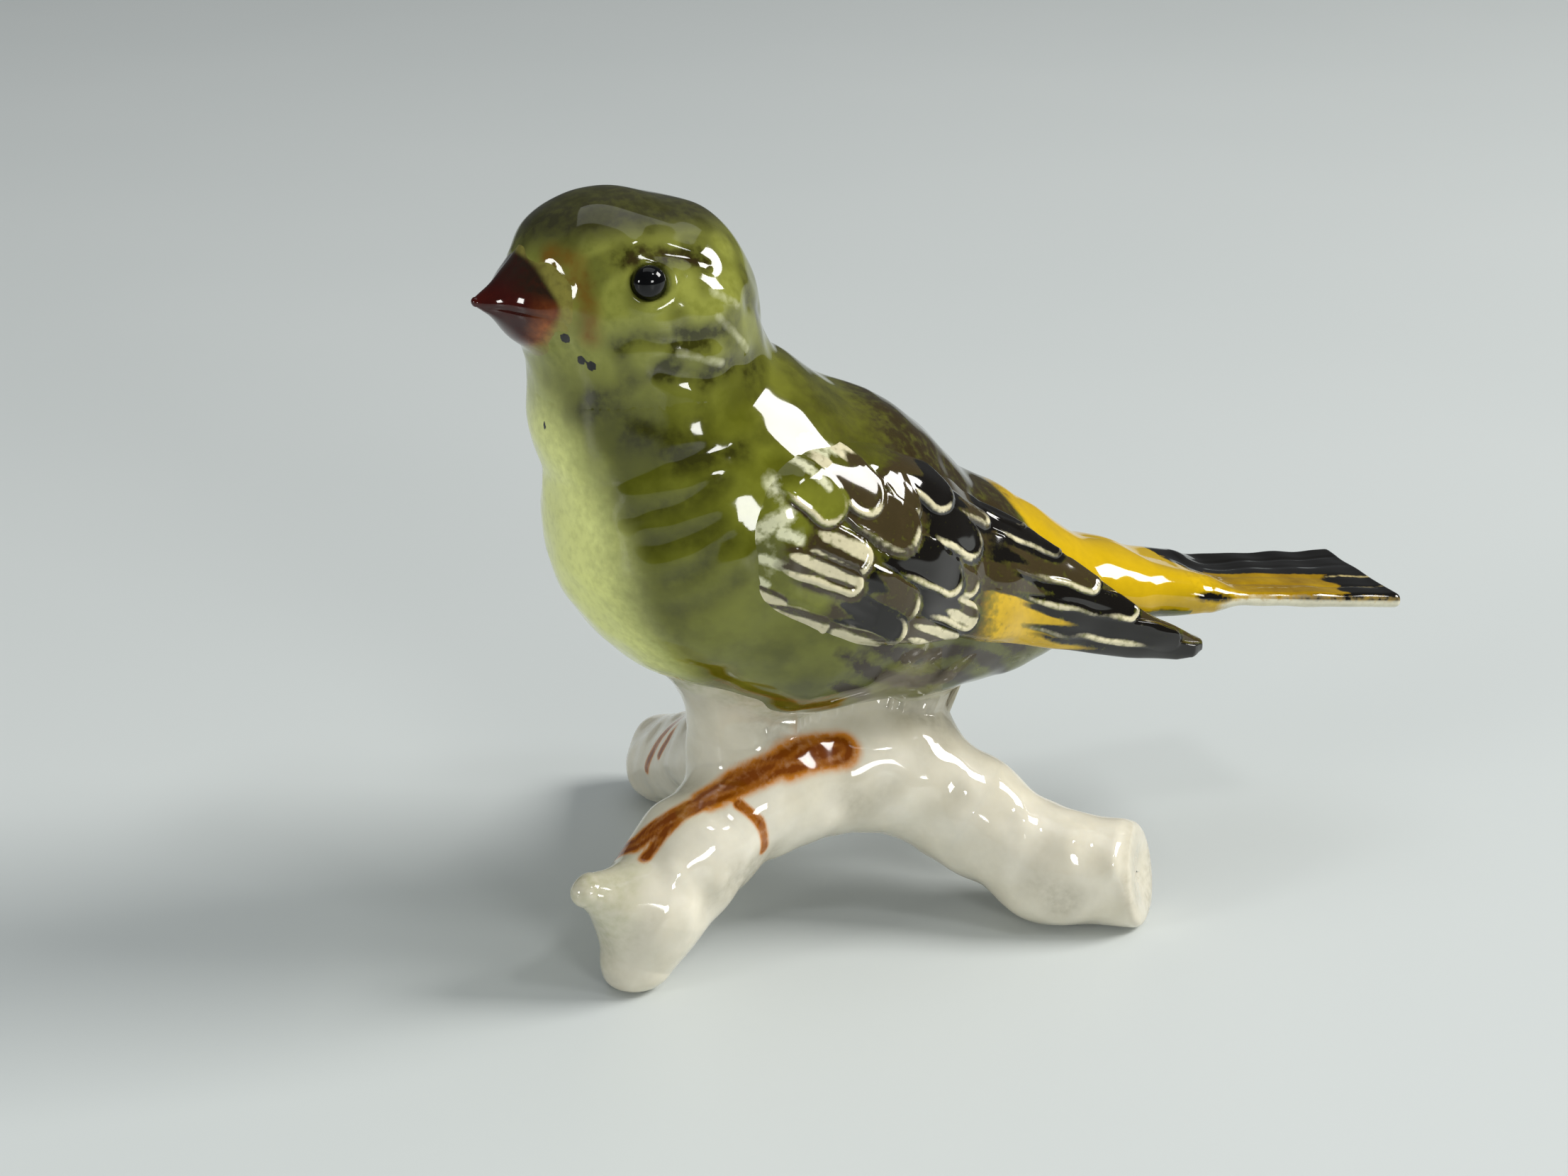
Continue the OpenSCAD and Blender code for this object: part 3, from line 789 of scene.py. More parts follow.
@dataclass
class Bird:
    """Body and head, one clay under two skins that meet at the neck.

    Attributes:
        rings: upright rings of the body.
        fan: leaning rings at each end of the body.
        around: points of a ring of the body.
        head_rows: rings of the head.
        head_around: points of a ring of the head.
        lumps: unevenness of the cast.
        small: unevenness of the brushed glaze.
        moss: clouds of darker paint.
        finish: the glaze.
    """
    rings: int = 140
    fan: int = 45
    around: int = 250
    head_rows: int = 170
    head_around: int = 240
    lumps: Lumps = Lumps(9.0, 0.10, 3)
    small: Lumps = Lumps(3.6, 0.03, 5)
    moss: Lumps = Lumps(3.4, 1.0, 21)
    finish: PaintedGlaze = PaintedGlaze(
        "olive_brushed_glaze", (112, 116, 34), (84, 87, 12),
        (
            Coat("lime", (224, 229, 142), ragged=0.12),
            Coat("face", (136, 140, 62), ragged=0.3),
            Coat("crown", (54, 53, 32), ragged=0.12),
            Coat("mantle", (58, 52, 26), ragged=0.35),
            # dark olive paint with painted shade in the folds, under the chin and in the brow groove
            Coat("shade", (52, 52, 6), ragged=0.4),
            Coat("pale", (205, 206, 168), low=0.15, high=0.85, ragged=0.4),
            Coat("rump", (200, 164, 12), low=0.3, high=0.6, ragged=0.25),
            # dark brown paint, partly painted shade under the wing and in the brow groove
            Coat("umber", (44, 32, 12), low=0.2, high=0.8, ragged=0.45),
            Coat("ochre", (112, 84, 24), low=0.05, high=0.9, ragged=0.3),
            Coat("ivory", (214, 210, 188), low=0.3, high=0.75, ragged=0.25),
            Coat("black", (12, 11, 10), low=0.4, high=0.6, ragged=0.2),
        ),
        mottle=0.07, bristle=0.8, depth=0.0,
    )

    def relief(self, p: Array) -> Array:
        """Height added to the plain form: lumps, folds of the cheek and breast, brow and eye socket."""
        q = to_left(p)
        out = self.lumps(p) + self.small(p)
        below_brow = q + np.array([0, 0, -1.1])
        out -= 0.22 * stroke(q, BROW_GROOVE, 0.8) - 0.14 * stroke(below_brow, BROW_GROOVE, 0.9)
        out -= 0.24 * strokes(q, CHEEK_FOLDS, 1.0)
        out -= 0.27 * strokes(q, BREAST_FOLDS, 1.0)
        out += 0.12 * strokes(q + np.array([0, 0, -1.6]), BREAST_FOLDS, 1.2)
        out += 0.16 * strokes(q, CHEEK_LIGHTS, 1.0)
        socket = ball(q, EYE, 0.0)
        out -= 1.1 * (1.0 - step(socket, EYE_R - 0.25, EYE_R + 0.25))
        out += 0.10 * bell(socket - EYE_R - 0.7, 0.45)
        return (out - 0.2 * stroke(q, BEAK_RIM, 0.5)) * (1.0 - step(p[..., 0], 17.0, 21.3))

    def shade(self, q: Array, lime: Array) -> Array:
        """Dark olive: painted shade in the folds and at the throat under the chin, over the eye partly
        painted shade in the brow groove, darker low on the flank, with mossy clouds of olive paint.
        """
        x, z = q[..., 0], q[..., 2]
        # painted shade: the breast and cheek folds, the throat under the chin and the brow groove are
        # darkened
        out = 0.62 * strokes(q, BREAST_FOLDS, 1.1) + 0.6 * strokes(q, CHEEK_FOLDS, 1.0)
        out += 0.6 * stroke(q, THROAT_SHADE, 2.0) + 0.7 * stroke(q, BROW_GROOVE, 1.1)
        out += 0.35 * step(x, -27.0, -18.0) * step(34.0 - z, 0.0, 6.0)
        out += 0.5 * step(self.moss(q), -0.5, 1.6) * step(z, 44.0, 54.0) * (1.0 - lime)
        return np.minimum(out, 1.0)

    @staticmethod
    def umber(q: Array, mantle: Array) -> Array:
        """Dark brown over the eye, on the mantle and in combed strokes under the wing; over the eye it is
        partly painted shade in the brow groove, under the wing partly painted shade beneath its overhang.
        """
        x, low = q[..., 0], wing_height(q)
        brushed = step(x, -19.0, -13.0) * (1.0 - step(x, 1.0, 7.0))
        brushed = brushed * step(low, 17.2, 19.4) * (1.0 - step(low, 23.0, 24.5))
        comb = (0.5 + 0.5 * np.sin(2.9 * (low + 0.24 * x) + 1.4 * np.sin(0.45 * x))) ** 1.5
        # the strokes under the wing are partly painted shade beneath its overhang
        out = 0.5 * strokes(q, WING_SHADE, 0.8) + 1.1 * brushed * comb + 0.6 * stroke(q, BROW_GROOVE, 0.75)
        return np.minimum(out + 0.5 * step(x, -13.0, -8.0) * mantle, 1.0)

    def masks(self, p: Array) -> dict[str, Array]:
        """Where each paint lies, for points on the skin."""
        q = to_left(p)
        x, z = q[..., 0], q[..., 2]
        aside = np.abs(q[..., 1] - BIRD_Y)
        lime = step(np.interp(z, *np.array(LIME_EDGE).T) - x, -2.6, 2.4)
        top = step(z - along_x(x, BACK_TOP), -1.5, 3.0)
        mantle = step(x, -17.0, -7.5) * (1.0 - step(x, 3.0, 6.5)) * top
        spine_shade = 0.45 * step(x, -27.0, -14.0) * top
        under = step(22.2 - z, -1.2, 0.8) * step(x, -27, -24)
        rump = step(x + 0.25 * (z - 34.0) - 0.35 * aside, 3.0, 5.6)
        rump = rump * step(z - along_x(x, RUMP_LOW), -0.8, 0.8)
        tail_dark = step(x + 0.3 * aside, 21.5, 23.5) * step(p[..., 1] - BIRD_Y + 3.0, 2.2, 3.0)
        under_tail = 0.8 * step(x, -1.0, 5.0) * step(along_x(x, UNDER_TAIL) - z, -0.8, 1.0)
        blots = [step(r - ball(q, at, 0.0), -0.12, 0.12) for at, r in BLOTS]
        blots += [step(r - ball(p, at, 0.0), -0.12, 0.12) for at, r in LEFT_BLOTS]
        pale = 0.95 * strokes(q, SHOULDER_LIGHTS, 0.85) * step(x, -25.5, -22.0)
        ochre = 0.75 * stroke(q, LORE, 0.95) + 0.8 * stroke(q, BELLY_LINE, 0.3)
        ochre = ochre + 0.5 * stroke(q, BEAK_RIM, 0.8)
        return {
            "lime": lime,
            "face": 0.95 * step(z, 51.0, 61.0) * step(-22.5 - x, -5.0, 5.0),
            "crown": 0.95 * step(z + 0.10 * np.abs(x + 31.0) - 0.10 * aside, 65.6, 68.4),
            "mantle": np.maximum(mantle, spine_shade),
            # painted shade in the folds, under the chin and in the brow groove, with dark olive paint
            "shade": self.shade(q, lime),
            "pale": pale + 0.4 * strokes(q, CHEEK_LIGHTS, 0.45) + 0.30 * under_tail,
            "rump": rump * (1.0 - under_tail),
            "umber": self.umber(q, mantle),
            "ochre": ochre,
            "ivory": np.maximum(under, 0.8 * stroke(q, BELLY_EDGE, 0.8)),
            "black": np.maximum(np.maximum.reduce(blots), tail_dark * rump),
        }

    def piece(self, name: str, points: Array, joint: Field, material: bpy.types.Material) -> None:
        """Raises the relief, masks the paint and makes the piece.

        Args:
            name: the node that it replaces.
            points: grid on the plain skin.
            joint: signed distance past the joint.
            material: the glaze.
        """
        masks = self.masks(points)
        points = raise_along(tailed_field, points, self.relief(points), joint(points))
        hand_over(grid_mesh(name, points, masks), material, Slot.OLIVE, name)

    def build(self) -> None:
        """Body from the breast to the rump, then the head down to the neck."""
        material = self.finish.make()
        over_neck, below_neck = past(NECK_AT, NECK_DIR), short_of(NECK_AT, NECK_DIR)
        past_rump = past((TAIL_SEAM, 0.0, 0.0), AHEAD)
        body = Territory(tailed_field, (over_neck, past_rump))
        line = ((-24.5, BIRD_Y, 42.5), (-14, BIRD_Y, 36), (-4, BIRD_Y, 32), (4, BIRD_Y, 30),
                (14, BIRD_Y, 28.6), (22.6, BIRD_Y, 27.2))
        spine = Spine.along(line, self.rings, self.fan, straight=AHEAD)
        self.piece("body", skin(body, spine, self.around, 40.0), either(over_neck, past_rump), material)
        head = Territory(tailed_field, (below_neck, bill_seam))
        star = Spine.star((-29.5, BIRD_Y, 58.6), self.head_rows)
        points = skin(head, star, self.head_around, 30.0, hint=AHEAD)
        self.piece("head", points, either(below_neck, bill_seam), material)


@dataclass
class Beak:
    """Conical seed-eater's beak: the front of the bird's field, with a ridge and a gape groove."""
    rows: int = 90
    fan: int = 26
    around: int = 160
    finish: PaintedGlaze = PaintedGlaze(
        "mahogany_beak_glaze", (70, 12, 4), (48, 7, 2),
        (
            Coat("orange", (150, 84, 34), ragged=0.3),
            Coat("dark", (40, 24, 12), ragged=0.3),
            Coat("edge", (40, 20, 10), ragged=0.4),
            Coat("tip", (196, 178, 150), low=0.3, high=0.7, ragged=0.3),
            Coat("skin", (132, 126, 58), ragged=0.15),
        ),
        mottle=0.16, bristle=0.6,
    )

    def build(self) -> None:
        """Casts the skin along the beak's axis, then cuts the gape and raises the ridge."""
        root, tip = np.array(BILL[0][:3]), np.array(BILL[-1][:3])
        ahead = unit(tip - root)
        line = (tuple(root + ahead * 1.0), tuple(tip - ahead * 0.25))
        spine = Spine.along(line, self.rows, self.fan, straight=tuple(ahead))
        points = skin(Territory(tailed_field, (self.joint,)), spine, self.around, 9.0)
        side = unit(np.cross(ahead, np.array(UP)))
        off = points - root
        run = off @ ahead
        height = off @ np.cross(side, ahead) - 0.06 * (run - 4.0) * (8.0 - run)
        lower = -height
        t = np.clip(1.0 - ball(points, tuple(tip), 0.0) / BILL_SEAM_R, 0.0, 1.0)
        gape = bell(height + 0.35, 0.22) * (1.0 - step(t, 0.78, 0.95))
        ridge = bell(off @ side, 0.8) * step(height, 0.0, 1.0)
        edge = bill_seam(points) + 0.15 * np.sin(2.1 * height)
        masks = {
            "orange": (0.35 + 0.65 * step(lower, -0.6, 2.0)) * (1.0 - step(t, 0.05, 0.42)),
            "dark": step(height, 0.3, 1.8) * (1.0 - step(t, 0.25, 0.8)),
            "edge": 0.3 * gape,
            "tip": step(t, 0.93, 0.975),
            "skin": 1.0 - step(edge, 0.1, 0.9 + 0.9 * step(lower, 0.0, 2.0)),
        }
        points = raise_along(tailed_field, points, 0.16 * ridge - 0.08 * gape, self.joint(points))
        hand_over(grid_mesh("beak", points, masks), self.finish.make(), Slot.BEAK, "beak")

    @staticmethod
    def joint(p: Array) -> Array:
        """Signed distance behind the seam round the beak's base."""
        return -bill_seam(p)


@dataclass
class Eyes:
    """Two black glass-like beads set in the sockets."""
    rows: int = 48
    around: int = 64
    flat: float = 0.86
    finish: PaintedGlaze = PaintedGlaze(
        "black_eye_enamel", (4, 4, 5), (7, 7, 8), mottle=0.3, wave=0.004, gloss=0.32,
    )

    def build(self) -> None:
        """Builds and dresses both beads: balls a little flattened outwards."""
        material = self.finish.make()
        for name, hand in (("left_eye", 1.0), ("right_eye", -1.0)):
            at = (EYE[0], BIRD_Y + hand * (EYE[1] - BIRD_Y), EYE[2])
            origin, ray = Spine.star(at, self.rows).rays(self.around, AHEAD)
            points = origin + ray * EYE_R * np.array([1.0, self.flat, 1.0])
            hand_over(grid_mesh(name, points, {}), material, Slot.EYE, name)


# ---------------------------------------------------------------- wings and tail

class Fill(Enum):
    """Colour that a feather is filled with."""
    GREEN = "green"
    CREAM = "cream"
    BROWN = "brown"
    BLACK = "black"
    YELLOW = "yellow"


@dataclass(frozen=True)
class Feather:
    """One moulded feather, drawn on the leaning flat of the wing: run along X, and height up the flat.

    Attributes:
        root: where it leaves the wing, mm.
        tip: its rounded end, mm.
        half: half width, mm.
        fill: its colour near the root.
        end: its colour towards the tip.
        turn: share of its length where the colour changes.
        sharp: radius of the tip as a share of half.
        rise: height of its tip over the feather below, mm.
        rim: strength of the pale rim.
    """
    root: tuple[float, float]
    tip: tuple[float, float]
    half: float
    fill: Fill
    end: Fill
    turn: float = 0.5
    sharp: float = 0.9
    rise: float = 0.42
    rim: float = 1.0

    def place(self, x: Array, q: Array) -> tuple[Array, Array, Array]:
        """Where points lie on the feather.

        Args:
            x: run along the bird.
            q: height on the flat of the wing.

        Returns:
            Distance to the outline, run from root to tip (0 to 1) and offset across, lower side positive.
        """
        a, b = np.array(self.root), np.array(self.tip)
        ahead = (b - a) / np.linalg.norm(b - a)
        tip_r = self.half * self.sharp
        end = b - ahead * tip_r
        length = np.linalg.norm(end - a)
        s = ((x - a[0]) * ahead[0] + (q - a[1]) * ahead[1]) / length
        c = (x - a[0]) * ahead[1] - (q - a[1]) * ahead[0]
        run = np.clip(s, 0.0, 1.0)
        widths = np.array([0.75, 1.0, (1.0 + self.sharp) / 2.0, self.sharp]) * self.half
        wide = np.interp(run, [0.0, 0.45, 0.75, 1.0], widths)
        off = np.hypot(c, (s - run) * length)
        return off - wide, s, c


GREEN, CREAM, BROWN, BLACK, YELLOW = Fill
PLUMAGE: tuple[Feather, ...] = (
    # the long feathers of the hand and arm, from the lowest up
    Feather((-5.7, 23.7), (22.6, 17.5), 1.6, YELLOW, BLACK, 0.50, 0.7, 0.46, 0.8),
    Feather((-5.1, 26.0), (19.6, 19.4), 1.5, YELLOW, BLACK, 0.42, 0.7, 0.44, 0.9),
    Feather((-3.8, 28.4), (15.0, 22.6), 1.55, BROWN, BLACK, 0.4, 0.8, 0.42, 0.9),
    Feather((-3.1, 30.9), (11.2, 25.6), 1.55, BLACK, BROWN, 0.35, rise=0.38, rim=0.9),
    Feather((-2.2, 33.8), (7.4, 28.9), 1.35, BLACK, BLACK, rise=0.34, rim=0.8),
    Feather((-2.4, 35.6), (4.2, 31.6), 1.25, BLACK, BLACK, rise=0.30, rim=0.5),
    # coverts, from the rear row to the front
    Feather((-6.5, 35.2), (-0.6, 32.2), 1.0, BLACK, BROWN, rise=0.30, rim=0.7),
    Feather((-9.1, 33.9), (-2.6, 29.9), 1.9, BLACK, BLACK, rise=0.45),
    Feather((-9.0, 29.8), (-3.3, 26.6), 1.5, BLACK, BROWN, rise=0.40),
    Feather((-11.6, 27.2), (-3.4, 24.1), 1.45, BLACK, CREAM, 0.75, rise=0.40),
    Feather((-13.5, 24.8), (-5.0, 22.2), 1.1, BROWN, CREAM, 0.45, rise=0.30, rim=0.7),
    Feather((-10.5, 39.1), (-5.7, 33.7), 2.1, BROWN, BLACK, rise=0.42),
    Feather((-12.2, 38.4), (-10.0, 33.2), 1.4, BROWN, BROWN, rise=0.32, rim=0.8),
    Feather((-14.2, 31.9), (-5.4, 27.3), 2.1, BLACK, BLACK, rise=0.46),
    Feather((-18.1, 29.7), (-10.5, 25.6), 1.8, BLACK, BROWN, 0.6, rise=0.42),
    Feather((-19.6, 27.6), (-11.5, 23.9), 1.5, BROWN, BLACK, 0.3, rise=0.36),
    Feather((-21.0, 25.6), (-13.5, 22.7), 1.1, BROWN, CREAM, 0.3, rise=0.24, rim=0.6),
    Feather((-17.2, 36.6), (-10.1, 31.2), 2.3, BROWN, BROWN, 0.25, rise=0.46),
    Feather((-21.0, 33.4), (-14.9, 29.9), 1.8, BROWN, CREAM, 0.35, rise=0.42, rim=0.9),
    Feather((-23.8, 32.0), (-15.9, 28.2), 1.3, BROWN, CREAM, 0.3, rise=0.28, rim=0.9),
    Feather((-18.3, 41.0), (-13.5, 34.1), 2.3, CREAM, BROWN, 0.55, rise=0.42, rim=0.9),
    Feather((-22.0, 39.3), (-17.0, 33.9), 2.1, GREEN, GREEN, rise=0.34, rim=0.95),
    Feather((-27.0, 30.0), (-22.3, 27.2), 1.0, BROWN, CREAM, 0.3, rise=0.18, rim=0.6),
    Feather((-25.6, 28.0), (-18.6, 25.0), 1.0, BROWN, CREAM, 0.3, rise=0.20, rim=0.7),
)
# strokes of cream on the green shoulder: (start, end, width)
SHOULDER_STROKES = (
    ((-21.6, 40.6), (-18.2, 36.6), 0.45), ((-19.5, 41.2), (-17.6, 39.2), 0.35),
    ((-26.3, 33.0), (-22.0, 34.8), 0.75), ((-22.8, 33.4), (-21.2, 32.6), 0.5),
    ((-24.5, 31.6), (-22.3, 30.5), 0.4), ((-25.9, 30.6), (-24.0, 29.4), 0.35),
    ((-24.9, 28.9), (-22.9, 27.9), 0.3), ((-22.4, 25.4), (-19.6, 24.2), 0.3),
    ((-20.6, 24.4), (-17.0, 23.3), 0.3), ((-26.0, 35.6), (-24.3, 35.9), 0.4),
    ((-26.8, 28.6), (-24.0, 26.9), 0.35), ((-24.0, 26.4), (-20.8, 24.8), 0.35),
)
BROWN_GROOVE_SHADE_BEFORE = -15.0  # feathers rooted in front of this X get brown painted shade in their grooves, the others black
WING_AXIS = ((-27, 41), (-20, 38.5), (-14, 36), (-4, 32.5), (4, 29.8), (14, 26.6), (28, 22.2))
BLADE_R = ((-27, 2), (-6, 6), (0, 8.8), (4, 9.3), (14, 8), (28, 6.4))
WING_LOW = ((-26.8, 1), (-25, -10), (-18, -18), (-4, -15), (4, -17.5), (14, -21), (21, -16), (22.4, -4))
WING_HIGH = ((-26.8, 6), (-25, 22), (-23.3, 35), (-20, 47), (-13, 60), (-1, 60), (4, 56), (7, 47),
             (10.6, 36), (16.8, 14), (19.4, 10), (22.4, 1))


@dataclass
class Wings:
    """Both wings. A point of a wing is (x, angle, radius) about the wing's axis.

    The outer sheet stands a lift over the flank or on the free blade, whichever is further out. Each
    ring round the blade is a superellipse between its margins, so the edges are round.
    """
    front_x: float = -26.8
    end_x: float = 22.4
    lift: float = 1.0
    thick: float = 1.8
    rows: int = 330
    over: int = 210
    under: int = 60
    lumps: Lumps = Lumps(4.0, 0.03, 9)
    finish: PaintedGlaze = PaintedGlaze(
        "feather_painted_glaze", (112, 116, 34), (84, 87, 12),
        (
            # the flank's paints: mantle, and dark olive with painted shade in the folds
            Coat("mantle", (58, 52, 26), ragged=0.35), Coat("shade", (62, 63, 6), ragged=0.4),
            Coat("pale", (206, 206, 170), low=0.2, high=0.8, ragged=0.5),
            Coat("brown", (60, 50, 28), low=0.15, high=0.85, ragged=0.4),
            Coat("yellow", (206, 168, 14), low=0.2, high=0.7, ragged=0.3),
            Coat("black", (16, 13, 9), low=0.25, high=0.7, ragged=0.35),
            Coat("cream", (206, 198, 164), low=0.2, high=0.8, ragged=0.4),
        ),
        mottle=0.12, bristle=0.55, wave=0.006,
    )

    def feathers(self, x: Array, q: Array) -> tuple[Array, dict[str, Array]]:
        """Relief and paint of all feathers at points of the flat of the wing.

        Args:
            x: run along the bird.
            q: height on the flat of the wing.

        Returns:
            The height in mm and the masks by paint.
        """
        wobble = 0.14 * np.sin(1.3 * x + 0.7 * q) + 0.08 * np.sin(2.3 * q - 1.1 * x)
        height = np.zeros_like(x)
        paints = {fill: np.zeros_like(x) for fill in Fill}
        paints[GREEN] = 1.0 - step(x + 0.55 * (33.0 - q), -16.0, -9.0)
        paints[BROWN] = 1.0 - paints[GREEN]
        for feather in PLUMAGE:
            f, s, c = feather.place(x, q)
            f = f + wobble * 0.5
            cover = step(-f, -0.10, 0.14) * step(s, 0.0, 0.3)
            low_side = 0.10 + 0.90 * step(c / feather.half, -0.85, 0.1)
            rim = bell(f + 0.30, 0.27) * step(s, 0.22, 0.6) * low_side * (1.0 - step(x, 14.0, 18.0))
            swell = 0.06 * bell(c, 0.55 * feather.half)
            own = feather.rise * (0.12 + 0.88 * np.clip(s, 0.0, 1.0)) + 0.16 * rim + swell
            height = height * (1.0 - cover) + own * cover
            # painted shade: a dark band just outside each feather's rim, in the groove over the feather
            # below
            groove = 0.95 * bell(f - 0.16, 0.34) * step(s, 0.2, 0.6) * low_side
            self.lay(paints, BROWN if feather.root[0] < BROWN_GROOVE_SHADE_BEFORE else BLACK, groove)
            comb = np.sin(6.0 * c / feather.half + 9.0 * feather.turn + 0.8 * wobble)
            late = step(s + 0.10 * comb, feather.turn - 0.10, feather.turn + 0.12)
            thin = step(comb + 2.0 * wobble, -0.9, 0.5)
            for fill in Fill:
                own_paint = (fill is feather.fill) * (1.0 - late) + (fill is feather.end) * late
                if fill is CREAM:
                    own_paint = own_paint * thin
                if fill is BROWN and feather.end is CREAM:
                    own_paint = own_paint + late * (1.0 - thin)
                paints[fill] = paints[fill] * (1.0 - cover) + own_paint * cover
            worn = 0.62 + 0.38 * np.sin(1.1 * x + 1.9 * q + 4.0 * feather.half)
            self.lay(paints, CREAM, np.clip(rim * feather.rim * cover * 1.25 * worn, 0.0, 1.0))
        pale = [bell(self.line_distance(x, q, a, b), wide) for a, b, wide in SHOULDER_STROKES]
        masks = {fill.value: paints[fill] for fill in (CREAM, BROWN, BLACK, YELLOW)}
        masks["pale"] = step(x, -26.4, -24.6) * np.maximum.reduce(pale)
        return height, masks

    @staticmethod
    def lay(paints: dict[Fill, Array], top: Fill, amount: Array) -> None:
        """Lays one paint over the others by an amount."""
        for fill in paints:
            paints[fill] = paints[fill] * (1.0 - amount) + (fill is top) * amount

    @staticmethod
    def line_distance(x: Array, q: Array, a: tuple[float, float], b: tuple[float, float]) -> Array:
        """Distance on the flat of the wing to the line from a to b."""
        run = np.array(b) - np.array(a)
        t = np.clip(((x - a[0]) * run[0] + (q - a[1]) * run[1]) / (run @ run), 0.0, 1.0)
        return np.hypot(x - a[0] - t * run[0], q - a[1] - t * run[1])

    def outer_radius(self, x: Array, angle: Array) -> Array:
        """Radius of the outer sheet: the flank plus its lift, blended with the blade's own radius.

        Args:
            x: run along the bird.
            angle: turn about the wing's axis, in radians up from the level.

        Returns:
            The radius in mm.
        """
        origin = np.stack([x, np.full_like(x, BIRD_Y), table(x, WING_AXIS)], -1)
        ray = np.stack([np.zeros_like(x), -np.cos(angle), np.sin(angle)], -1)
        flank = np.linalg.norm(cast(bird_field, origin, ray, np.array(24.0)) - origin, axis=-1)
        low, high = np.radians(table(x, WING_LOW)), np.radians(table(x, WING_HIGH))
        in_front = step(x, self.front_x, self.front_x + 6.0)
        from_top = (high - angle) * flank
        from_below = (angle - low) * flank
        free = step(x, -6.0, 6.0)
        sunk_top = (1.0 - step(from_top, 0.0, 4.0)) * (1.0 - 0.7 * free)
        sunk_low = (1.0 - step(from_below, 0.0, 3.0 - 1.6 * step(x, -20.0, -8.0))) * (1.0 - free)
        lift = self.lift * in_front * (1.0 - np.maximum(sunk_top, sunk_low))
        proud = flank + lift - 0.25 * (1.0 - in_front)
        return -blend(-proud, -table(x, BLADE_R), 1.5)

    def sheet(self) -> tuple[Array, dict[str, Array]]:
        """Left wing as a grid, with its paint."""
        over = np.linspace(0.0, math.pi, self.over, endpoint=False)
        under = np.linspace(math.pi, 2.0 * math.pi, self.under, endpoint=False)
        u = np.linspace(0.0, 1.0, self.rows)
        u, t = np.meshgrid(u, np.concatenate([over, under]), indexing="ij")
        x = self.front_x + (self.end_x - self.front_x) * (u - 0.06 * np.sin(2.0 * math.pi * u) / math.pi)
        across = np.sign(np.cos(t)) * np.abs(np.cos(t)) ** 0.75
        depth = np.sign(np.sin(t)) * np.abs(np.sin(t)) ** 0.42
        low, high = np.radians(table(x, WING_LOW)), np.radians(table(x, WING_HIGH))
        angle = (low + high) / 2.0 + (high - low) / 2.0 * across
        taper = step(x, self.front_x, self.front_x + 3.0) * (1.0 - 0.15 * step(x, 12.0, self.end_x))
        radius = self.outer_radius(x, angle) - self.thick * (0.15 + 0.85 * taper) * (1.0 - depth) / 2.0
        out = np.stack([np.zeros_like(x), -np.cos(angle), np.sin(angle)], -1)
        points = np.stack([x, np.full_like(x, BIRD_Y), table(x, WING_AXIS)], -1) + out * radius[..., None]
        height, paints = self.feathers(x, wing_height(points))
        outside = step(depth, 0.2, 0.9)
        edge = np.minimum(step(u, 0.0, 0.1), 1.0 - step(u, 0.97, 1.0))
        points = points + out * ((height * edge + self.lumps(points)) * outside)[..., None]
        flank = Bird().masks(points)
        # the flank's mantle paint, and its dark olive with painted shade, carry onto the wing
        paints["mantle"], paints["shade"] = flank["mantle"], flank["shade"]
        paints["pale"] = np.maximum(paints["pale"], flank["pale"])
        paints["brown"] = paints["brown"] * outside + 0.45 * (1.0 - outside) * step(x, 2.0, 6.0)
        return points, paints

    def build(self) -> None:
        """Builds the left wing, then the right one: mirrored, with its rings turned round."""
        material = self.finish.make()
        points, paints = self.sheet()
        hand_over(grid_mesh("left_wing", points, paints), material, Slot.WING, "left_wing")
        mirrored = points * np.array([1.0, -1.0, 1.0]) + np.array([0.0, 2.0 * BIRD_Y, 0.0])
        flipped = {key: value[:, ::-1] for key, value in paints.items()}
        hand_over(grid_mesh("right_wing", mirrored[:, ::-1], flipped), material, Slot.WING, "right_wing")


